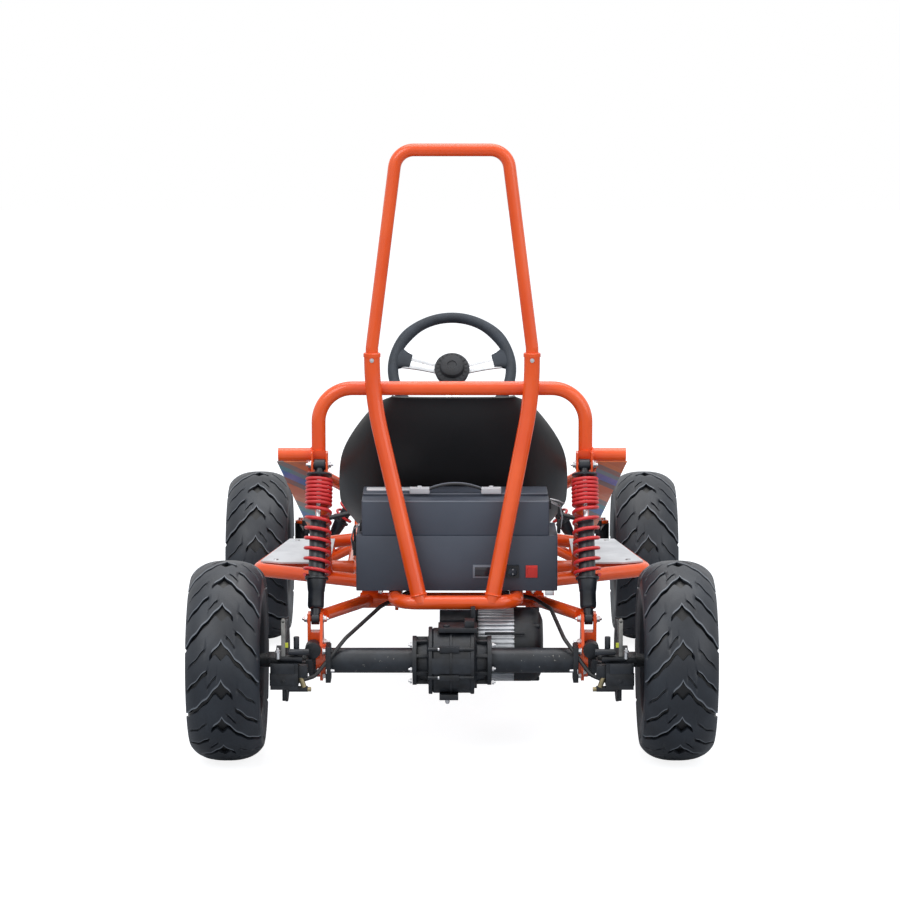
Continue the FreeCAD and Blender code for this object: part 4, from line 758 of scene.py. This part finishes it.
def hub_shape():
    """The round cap with a ring of small screws."""
    shape = Shape()
    shape.turned([(-12, 0.5), (-12, 32), (-2, 34), (3, 33.5), (5, 31), (5.5, 24), (7.5, 23), (14, 22),
                  (16.5, 18), (17, 9), (15.5, 8), (15.5, 0.5)], WHEEL_PLACE, 56)
    for angle in around(20):
        centre = Matrix.Translation((SCREW_RING * math.cos(angle), SCREW_RING * math.sin(angle), 5))
        turned = Matrix.Rotation(angle, 4, "Z") @ Matrix.Rotation(math.pi / 2, 4, "Z")
        shape.prism([(-1.2, -2.6), (1.2, -2.6), (1.2, 2.6), (-1.2, 2.6)], 0, 1.3,
                    WHEEL_PLACE @ centre @ turned)
    return shape


piece("steering_grip", grip_shape().mesh("grip"), GRIP_GREY, "steering",
      ("steering_wheel",))
piece("steering_spokes", spoke_shape().mesh("spokes", 0.8), SPOKE_SILVER, "steering")
piece("spoke_covers", cover_shape().mesh("covers"), GRIP_GREY, "steering")
piece("steering_hub", hub_shape().mesh("hub"), SOFT_BLACK, "steering")


# Battery: rounded tray, case with a ledge, controls, handle and latches

TRAY_REAR = -462.5
TRAY_FRONT = -317.5
TRAY_LEFT = -170.5
TRAY_RIGHT = 187.5
TRAY_LOW = 279
TRAY_HIGH = 378
CASE_LEFT = -160.5
CASE_RIGHT = 172.5
CASE_REAR = -459
CASE_FRONT = -321.5
CASE_HIGH = 440
LID_REAR = -402
LID_HIGH = 444.8
CORNER_RADIUS = 3
CORNER_STEPS = 5
HANDLE_SECTION = ((-407, -3.4), (-393, -3.4), (-393, 0), (-396, 1.2), (-404, 1.2), (-407, 0))
HANDLE_EDGE = 4
HANDLE_STEPS = 24


def rounded_box(low, high):
    """An upright box with rounded corners in plan."""
    left, rear = low[0] + CORNER_RADIUS, low[1] + CORNER_RADIUS
    right, front = high[0] - CORNER_RADIUS, high[1] - CORNER_RADIUS
    outline = []
    for corner, (x, y) in enumerate(((right, front), (left, front), (left, rear), (right, rear))):
        for step in range(CORNER_STEPS + 1):
            angle = math.pi / 2 * (corner + step / CORNER_STEPS)
            outline.append((x + CORNER_RADIUS * math.cos(angle), y + CORNER_RADIUS * math.sin(angle)))
    return Shape().prism(outline, low[2], high[2])


def battery():
    """Tray, case, raised lid, handle, painted highlights along the lid's edges and the handle, and what lies
    on the lid.
    """
    tray = rounded_box((TRAY_LEFT, TRAY_REAR, TRAY_LOW), (TRAY_RIGHT, TRAY_FRONT, TRAY_HIGH))
    piece("tray_body", tray.mesh("tray", 0.8), CASE_GREY, "chassis", ("battery_tray",))
    case = rounded_box((CASE_LEFT, CASE_REAR, TRAY_HIGH), (CASE_RIGHT, CASE_FRONT, CASE_HIGH))
    lid = rounded_box((CASE_LEFT + 0.5, LID_REAR, CASE_HIGH - 1), (CASE_RIGHT - 0.5, CASE_FRONT, LID_HIGH))
    case.joined(lid)
    piece("case_body", case.mesh("case", 1.0, 3), CASE_GREY, "chassis", ("battery_case",))
    # Painted highlights: light grey strips along the rear top edges of the case and the lid.
    lines = Shape()
    for rear, low, high in ((CASE_REAR, 438.2, 440.3), (LID_REAR, 443.0, 445)):
        lines.slab((CASE_LEFT + 2, rear - 0.3, low), (CASE_RIGHT - 2, rear + 1.4, high))
    piece("lid_edge_highlights", lines.mesh("lines", 0.4), BEZEL_AND_HIGHLIGHT_GREY, "chassis")
    rows = []
    for step in range(HANDLE_STEPS + 1):
        share = step / HANDLE_STEPS * 2 - 1
        x = 6 + 47 * share
        z = 454 + 9.5 * (1 - share * share)
        rows.append([Vector((x, y, z + up)) for y, up in HANDLE_SECTION])
    handle = Shape().grid(rows, closed_across=True)
    piece("battery_grip", handle.mesh("handle", 0.6), TRIM_BLACK, "chassis",
          ("battery_fittings",))
    # Painted highlight: a light grey line along the handle's top edge.
    shine = Shape().tube([row[HANDLE_EDGE] + Vector((0, -0.6, 0.1)) for row in rows], 0.9, 8)
    piece("grip_highlight", shine.mesh("edge"), BEZEL_AND_HIGHLIGHT_GREY, "chassis")
    blocks = Shape()
    for left, right in ((-76, -40), (52, 88)):
        blocks.joined(rounded_box((left, -408, 444.5), (right, -392, 455.5)))
        blocks.joined(rounded_box((left + 14, -405, 455), (right - 14, -395, 458)))
    piece("lid_blocks", blocks.mesh("blocks", 1.2, 3), WHITE_STRIP, "chassis")
    strip = rounded_box((-154, -372, 444.6), (-66, -340, 446.4))
    piece("lid_strip", strip.mesh("strip", 0.6), WHITE_STRIP, "chassis")


def latches():
    """A latch with its wire on each side of the tray, the socket's lead, and what is bolted under the tray."""
    clasps = Shape()
    wires = Shape()
    for out, x, case_side, top in ((1, TRAY_RIGHT, CASE_RIGHT, 438), (-1, TRAY_LEFT, CASE_LEFT, 398)):
        for start, reach, rear, front, low, high in (
                (x, 6, -438, -418, 60, 34), (x + out, 4, -434, -422, 36, 8),
                (case_side, 4, -438, -418, 16, 0)):
            near, far = sorted((start, start + out * reach))
            clasps.slab((near, rear, top - low), (far, front, top - high))
        for y in (-436, -420):
            wires.tube([(x + out * 6, y, top - 50), (x + out * 9, y, top - 30), (x + out * 5, y, top - 12),
                        (case_side + out * 3, y, top - 4)], 1.3, 8)
    wires.tube([(CASE_RIGHT + away, -428, z) for away, z in ((2, 439), (15, 436), (28, 430))], 1.5, 8)
    piece("battery_clasps", clasps.mesh("clasps", 0.6), TRIM_BLACK, "chassis")
    piece("clasp_wires", wires.mesh("wires"), STEEL, "chassis")
    under = Shape()
    for x in (-127, 144):
        bolt(under, (x, -452, TRAY_LOW), -UPWARD, 3.6, 3)
    under.slab((166, -460, 270), (182, -448, 278.8))
    piece("tray_bolts", under.mesh("bolts", 0.4), ZINC, "chassis")


def controls():
    """Display, socket and rocker on the rear face of the tray."""
    face = TRAY_REAR
    frame_line = Shape().slab((37, face - 1.6, 302), (72, face + 1, 326))
    display = Shape().slab((40.5, face - 2.2, 305.5), (69, face - 1, 322))
    pins = Shape()
    for z in (310, 318):
        pins.turned([(0, CORE), (0, 1.4), (4.6, 1.2), (4.8, CORE)],
                    facing((108, face - 0.2, z), -FORWARD), 12)
    red = Shape().slab((131, face - 2.0, 303), (152, face + 1, 325))
    red.add([(134, face - 2, 306), (149, face - 2, 306), (149, face - 5.5, 322), (134, face - 5.5, 322),
             (134, face - 2, 322), (149, face - 2, 322)],
            [(0, 1, 2, 3), (3, 2, 5, 4), (0, 3, 4), (1, 5, 2)])
    piece("display_bezel", frame_line.mesh("bezel", 0.6), BEZEL_AND_HIGHLIGHT_GREY, "chassis")
    piece("display_glass", display.mesh("display", 0.3), DISPLAY_DARK, "chassis")
    piece("socket_pins", pins.mesh("pins"), STEEL, "chassis")
    piece("rocker", red.mesh("rocker", 0.6), ROCKER_RED, "chassis")


battery()
latches()
controls()


# Gear housing and motor: bolts, ribs and flanges over the cast solids

DRUM_RADIUS = 58
AXLE_MIDDLE = (0, REAR_AXLE_Y, AXLE_Z)
MOTOR_X = 44
MOTOR_Y = -455
MOTOR_Z = 181
MOTOR_LENGTH = 66
MOTOR_RADIUS = 61
BELL_RADIUS = 66


def drum_place(z, radius):
    """A point on the rear side of the gear drum at a height."""
    return Vector((0, REAR_AXLE_Y - math.sqrt(radius ** 2 - (z - AXLE_Z) ** 2), z))


def gear_details():
    """Long bolts across the drum, its seam and band, flange ribs and brackets."""
    cast = Shape()
    bolts = Shape()
    band_face = Shape()
    for z in (205, 156):
        seat = drum_place(z, DRUM_RADIUS + 1)
        cast.tube([seat + RIGHT * -42, seat + RIGHT * 38], 3.4, 12)
        cast.slab((-22, seat.y - 5, z - 5), (12, seat.y + 4, z + 5))
        bolts.turned([(0, CORE), (0, 3), (2.5, 3), (3, CORE)], facing((-22, seat.y - 1, z), -RIGHT), 14)
    rows = []
    for step in range(9):
        seat = drum_place(163 + 27 * step / 8, DRUM_RADIUS + 0.2)
        rows.append([seat + RIGHT * x for x in (-36, -34, 34, 36)])
    band_face.grid(rows)
    along = facing(AXLE_MIDDLE, RIGHT)
    cast.turned([(-4, 50), (-4, 59.4), (0.5, 59.4), (0.5, 50)], along, 56)
    for start, end in ((-41, -34), (32, 39)):
        cast.turned([(start, 50), (start, DRUM_RADIUS), (start + 1, DRUM_RADIUS + 1),
                     (end - 1, DRUM_RADIUS + 1), (end, DRUM_RADIUS), (end, 50)], along, 56)
    for turn in range(8):
        spin = Matrix.Translation(AXLE_MIDDLE) @ Matrix.Rotation(math.tau * (turn + 0.5) / 8, 4, "X")
        for side in (-1, 1):
            low, high = sorted((side * 41, side * 63))
            cast.prism([(low, -3), (high, -3), (high, 3), (low, 3)], 30, 42, spin)
    for side, y, z in ((-1, -594, 165), (-1, -588, 143), (1, -594, 166), (1, -588, 141), (-1, -588, 207),
                       (1, -588, 207)):
        bolt(bolts, (side * 69, y, z), RIGHT * side, 3.4, 3, washer=False)
    bolts.turned([(0, CORE), (0, 4), (6, 4), (9, 2.6), (9.5, CORE)], facing((-8, -585, 111), -UPWARD), 14)
    for low, high in (((-22, -600, 111), (11, -560, 121)), ((-24, -596, 230), (44, -540, 238)),
                      ((22, -590, 236), (39, -560, 249)), ((33, -530, 232), (41, -480, 262))):
        cast.slab(low, high)
    cast.turned([(0, CORE), (0, 6), (3, 6), (4, CORE)], facing((-10, -580, 238), UPWARD), 18)
    piece("housing_bosses", cast.mesh("bosses", 0.8), CAST_BLACK, "chassis")
    piece("housing_bolts", bolts.mesh("bolts"), ZINC, "chassis")
    piece("housing_band", band_face.mesh("band"), DAMPER_BLACK, "chassis")


def motor_details():
    """Lengthwise fins, the black bell with its rounded end, a guard bar and long studs."""
    middle = facing((MOTOR_X, MOTOR_Y, MOTOR_Z), RIGHT)
    end = MOTOR_LENGTH
    fins = Shape()
    fins.turned([(0, 40), (0, MOTOR_RADIUS), (end, MOTOR_RADIUS), (end, 40)], middle, 48)
    for angle in around(48):
        spin = Matrix.Translation((MOTOR_X, MOTOR_Y, MOTOR_Z)) @ Matrix.Rotation(angle, 4, "X")
        fins.prism([(0, -2.6), (end, -2.6), (end, 2.6), (0, 2.6)], 58, 65.8, spin)
    piece("motor_fins", fins.mesh("fins", 0.5), CAST_ALUMINIUM, "chassis", ("motor",))
    bell = Shape()
    bell.turned([(end, 40), (end, BELL_RADIUS), (96, BELL_RADIUS), (106, 63), (113, 56), (117.5, 44),
                 (118, 30), (118, 0.2)], middle, 64)
    bell.turned([(-0.4, 30), (-0.4, BELL_RADIUS), (2.5, BELL_RADIUS), (2.5, 30)], middle, 64)
    bell.tube([(58, -522, 214), (128, -522, 214)], 2.6, 10)
    for angle in around(6, 0.3):
        y = MOTOR_Y + MOTOR_RADIUS * math.cos(angle)
        z = MOTOR_Z + MOTOR_RADIUS * math.sin(angle)
        bell.turned([(0, 4.6), (44, 4.6), (46, 3), (46, 0.2)], facing((MOTOR_X + end, y, z), RIGHT), 14)
    piece("motor_bell", bell.mesh("bell", 0.4), CAST_BLACK, "chassis")


gear_details()
motor_details()


# Rear brakes: each part of the right one, then its mirror image

BRAKE_FACE = -659


def caliper_details():
    """Lever, cylinders, cable end and pins of the rear brakes."""
    face = BRAKE_FACE
    cast = Shape()
    for low, high in (((265, face - 1, 150), (314, face + 4, 172)), ((249, -655, 163), (266, -636, 184)),
                      ((249, -652, 138), (283, -640, 146)), ((296, -650, 189), (318, -600, 198)),
                      ((211, -604, 143), (220, -560, 205))):
        cast.slab(low, high)
    cast.tube([(290, -646, 150), (290, -646, 121)], 3.2, 10)
    cast.tube([(242, -606, 200), (242, -572, 200)], 14, 24)
    cast.tube([(258, -645, 195), (300, -645, 195)], 7, 14)
    bolt(cast, (290, face - 0.5, 158), -FORWARD, 2.6, 1)
    grey = Shape().slab((271, face - 2, 171), (311, face + 2, 189))
    grey.tube([(246, -652, 208), (281, -652, 208)], 5.6, 14)
    grey.tube([(268, -646, 208), (268, -646, 234)], 5, 14)
    lever = Shape().slab((287, -652, 200), (294, -644, 262))
    lever.turned([(0, CORE), (0, 3.6), (7.5, 3.6), (7.5, CORE)], facing((290.5, -652, 262), FORWARD), 18)
    silver = Shape().turned([(0, CORE), (0, 4), (11, 4), (11, CORE)], facing((300, -652, 196), UPWARD), 12)
    bolt(silver, (300, -652, 207), UPWARD, 3.4, 4, washer=False)
    bolt(silver, (219, -597, 163), -RIGHT, 4.6, 9)
    bolt(silver, (229, -597, 163), RIGHT, 4.4, 3)
    brass = Shape().tube([(263, -650, 168), (255, -650, 146)], 4.6, 12)
    brass.tube([(249, -649, 142), (243, -649, 142)], 4, 12)
    mark = Shape().slab((282, -653, 216), (287, -650, 224))
    for name, shape, label, bevel, finish in (
            ("brake_bodies", cast, "bodies", 0.8, CAST_BLACK),
            ("brake_faces", grey, "faces", 0.8, DAMPER_BLACK),
            ("brake_levers", lever, "levers", 0.6, LEVER_GREY), ("brake_bolts", silver, "bolts", 0, ZINC),
            ("cable_ends", brass, "ends", 0, BRASS), ("brake_marks", mark, "marks", 0, YELLOW_MARK)):
        piece(name, both_sides(shape).mesh(label, bevel), finish, "chassis")


caliper_details()


# Weld beads where tubes meet, collars of the sockets and screws of the steps

RAIL_END_Y = -430
RAIL_Z = 519.5
BRACE_FOOT_X = 63
BRACE_FOOT_Y = -505
SOCKET_X = 141
SOCKET_Y = -456.9
SOCKET_TOP = 704
BRACE_BEND_Z = 628
STEP_TOP = 281.5


def bead_ring(shape, place, direction, radius, seed):
    """A rippled ring of weld round a tube's end."""
    seat = facing(place, direction)
    line = []
    radii = []
    for angle in around(56):
        line.append(seat @ Vector((radius * math.cos(angle), radius * math.sin(angle), 0)))
        radii.append(1.7 + 0.35 * math.sin(14 * angle + seed))
    shape.tube(line, radii, 8, closed=True)


def weld_beads():
    """Beads at the joints that show."""
    shape = Shape()
    for side in (-1, 1):
        bead_ring(shape, (side * 249.5, RAIL_END_Y, RAIL_Z), RIGHT, 11.6, side)
        bead_ring(shape, (side * 224.5, RAIL_END_Y, RAIL_Z), RIGHT, 4, side)
        foot = Vector((side * BRACE_FOOT_X + BRACE_SHIFT, BRACE_FOOT_Y, FRAME_Z))
        bend = Vector((side * SOCKET_X, SOCKET_Y, BRACE_BEND_Z))
        bead_ring(shape, foot + (bend - foot).normalized() * 14, bend - foot, 14.2, side)
    return shape


def socket_collars():
    """Rims and cross bolts where the roll bar stands in its sockets."""
    collar = Shape()
    screws = Shape()
    for side in (-1, 1):
        seat = Matrix.Translation((side * SOCKET_X, SOCKET_Y, SOCKET_TOP))
        collar.turned([(-7, 14.1), (-7, 15.2), (-1, 15.2), (0.4, 14), (0.6, 11.6)], seat, 40)
        bolt(screws, (side * SOCKET_X, SOCKET_Y - 13.8, SOCKET_TOP - 12), -FORWARD, 2.2, 1.2)
    piece("socket_rims", collar.mesh("rims"), ORANGE, "chassis")
    piece("socket_bolts", screws.mesh("screws"), ZINC, "chassis")


def step_screws():
    """Round heads on the step plates."""
    shape = Shape()
    for x, y in ((-330, -165), (-300, 45), (-240, 45), (-240, -175), (-262, -60)):
        shape.turned([(0, CORE), (0, 5), (1.6, 4.2), (2.2, CORE)], Matrix.Translation((x, y, STEP_TOP)), 16)
    return both_sides(shape)


piece("weld_beads", weld_beads().mesh("beads"), ORANGE, "chassis")
socket_collars()
piece("step_screws", step_screws().mesh("screws"), STEEL, "chassis")


# Floor, light and camera: these sizes are in metres

FLOOR_HALF = 14
FLOOR_DEPTH = 0.0005
LIGHT_AIM = Vector((0, 0, 0.4))
LAMPS = (("key", (-2.2, -3.4, 3.6), 66, 2.6), ("fill", (2.8, -2.6, 2.2), 30, 2.6),
         ("top", (0.2, 0.2, 4.2), 92, 3.4))
FOCAL_PIXELS = 3075
PHOTO_WIDTH = 900
PRINCIPAL_X = 452
SENSOR_WIDTH = 36
CAMERA_PITCH = 8.23
CAMERA_PLACE = (0, -5.841, 1.310)


def floor_paper():
    """Matt paper for the shadow, which the camera sees as nearly white."""
    made = bpy.data.materials.new("floor_paper")
    made.use_nodes = True
    nodes = made.node_tree.nodes
    links = made.node_tree.links
    nodes.remove(nodes["Principled BSDF"])
    paper = nodes.new("ShaderNodeBsdfDiffuse")
    paper.inputs["Color"].default_value = (0.45, 0.46, 0.48, 1)
    glow = nodes.new("ShaderNodeEmission")
    glow.inputs["Color"].default_value = (0.86, 0.86, 0.86, 1)
    seen = nodes.new("ShaderNodeLightPath")
    links.new(seen.outputs["Is Camera Ray"], glow.inputs["Strength"])
    both = nodes.new("ShaderNodeAddShader")
    links.new(paper.outputs[0], both.inputs[0])
    links.new(glow.outputs[0], both.inputs[1])
    links.new(both.outputs[0], nodes["Material Output"].inputs["Surface"])
    return made


def add_floor():
    """A plain pale floor just below the tyres."""
    mesh = bpy.data.meshes.new("floor")
    corners = ((-1, -1), (1, -1), (1, 1), (-1, 1))
    mesh.from_pydata([(x * FLOOR_HALF, y * FLOOR_HALF, -FLOOR_DEPTH) for x, y in corners], [], [(0, 1, 2, 3)])
    floor = bpy.data.objects.new("floor", mesh)
    bpy.context.scene.collection.objects.link(floor)
    floor.data.materials.append(floor_paper())


def add_surround():
    """A cool soft light from all sides; the camera, mirrors and glass see plain white."""
    world = bpy.data.worlds.new("surround")
    bpy.context.scene.world = world
    world.use_nodes = True
    nodes = world.node_tree.nodes
    links = world.node_tree.links
    light = nodes["Background"]
    light.inputs["Color"].default_value = (0.86, 0.93, 1.0, 1)
    light.inputs["Strength"].default_value = 0.62
    white = nodes.new("ShaderNodeBackground")
    white.inputs["Color"].default_value = (1, 1, 1, 1)
    white.inputs["Strength"].default_value = 1.0
    path = nodes.new("ShaderNodeLightPath")
    seen = path.outputs["Is Camera Ray"]
    for ray in ("Is Glossy Ray", "Is Transmission Ray"):
        either = nodes.new("ShaderNodeMath")
        either.operation = "MAXIMUM"
        links.new(seen, either.inputs[0])
        links.new(path.outputs[ray], either.inputs[1])
        seen = either.outputs[0]
    chosen = nodes.new("ShaderNodeMixShader")
    links.new(seen, chosen.inputs["Fac"])
    links.new(light.outputs[0], chosen.inputs[1])
    links.new(white.outputs[0], chosen.inputs[2])
    links.new(chosen.outputs[0], nodes["World Output"].inputs["Surface"])


def add_lamps():
    """Soft lamps that aim at the middle of the vehicle."""
    for name, place, power, size in LAMPS:
        lamp = bpy.data.lights.new(name, "AREA")
        lamp.energy = power
        lamp.size = size
        holder = bpy.data.objects.new(name, lamp)
        holder.location = place
        holder.rotation_euler = (LIGHT_AIM - Vector(place)).to_track_quat("-Z", "Y").to_euler()
        bpy.context.scene.collection.objects.link(holder)


add_floor()
add_surround()
add_lamps()

camera = bpy.data.objects.new("camera", bpy.data.cameras.new("camera"))
bpy.context.scene.collection.objects.link(camera)
camera.data.sensor_width = SENSOR_WIDTH
camera.data.lens = FOCAL_PIXELS / PHOTO_WIDTH * SENSOR_WIDTH
camera.data.shift_x = (PHOTO_WIDTH / 2 - PRINCIPAL_X) / PHOTO_WIDTH
camera.location = CAMERA_PLACE
camera.rotation_euler = (math.radians(90 - CAMERA_PITCH), 0, 0)
bpy.context.scene.camera = camera
bpy.context.scene.view_settings.view_transform = "Standard"
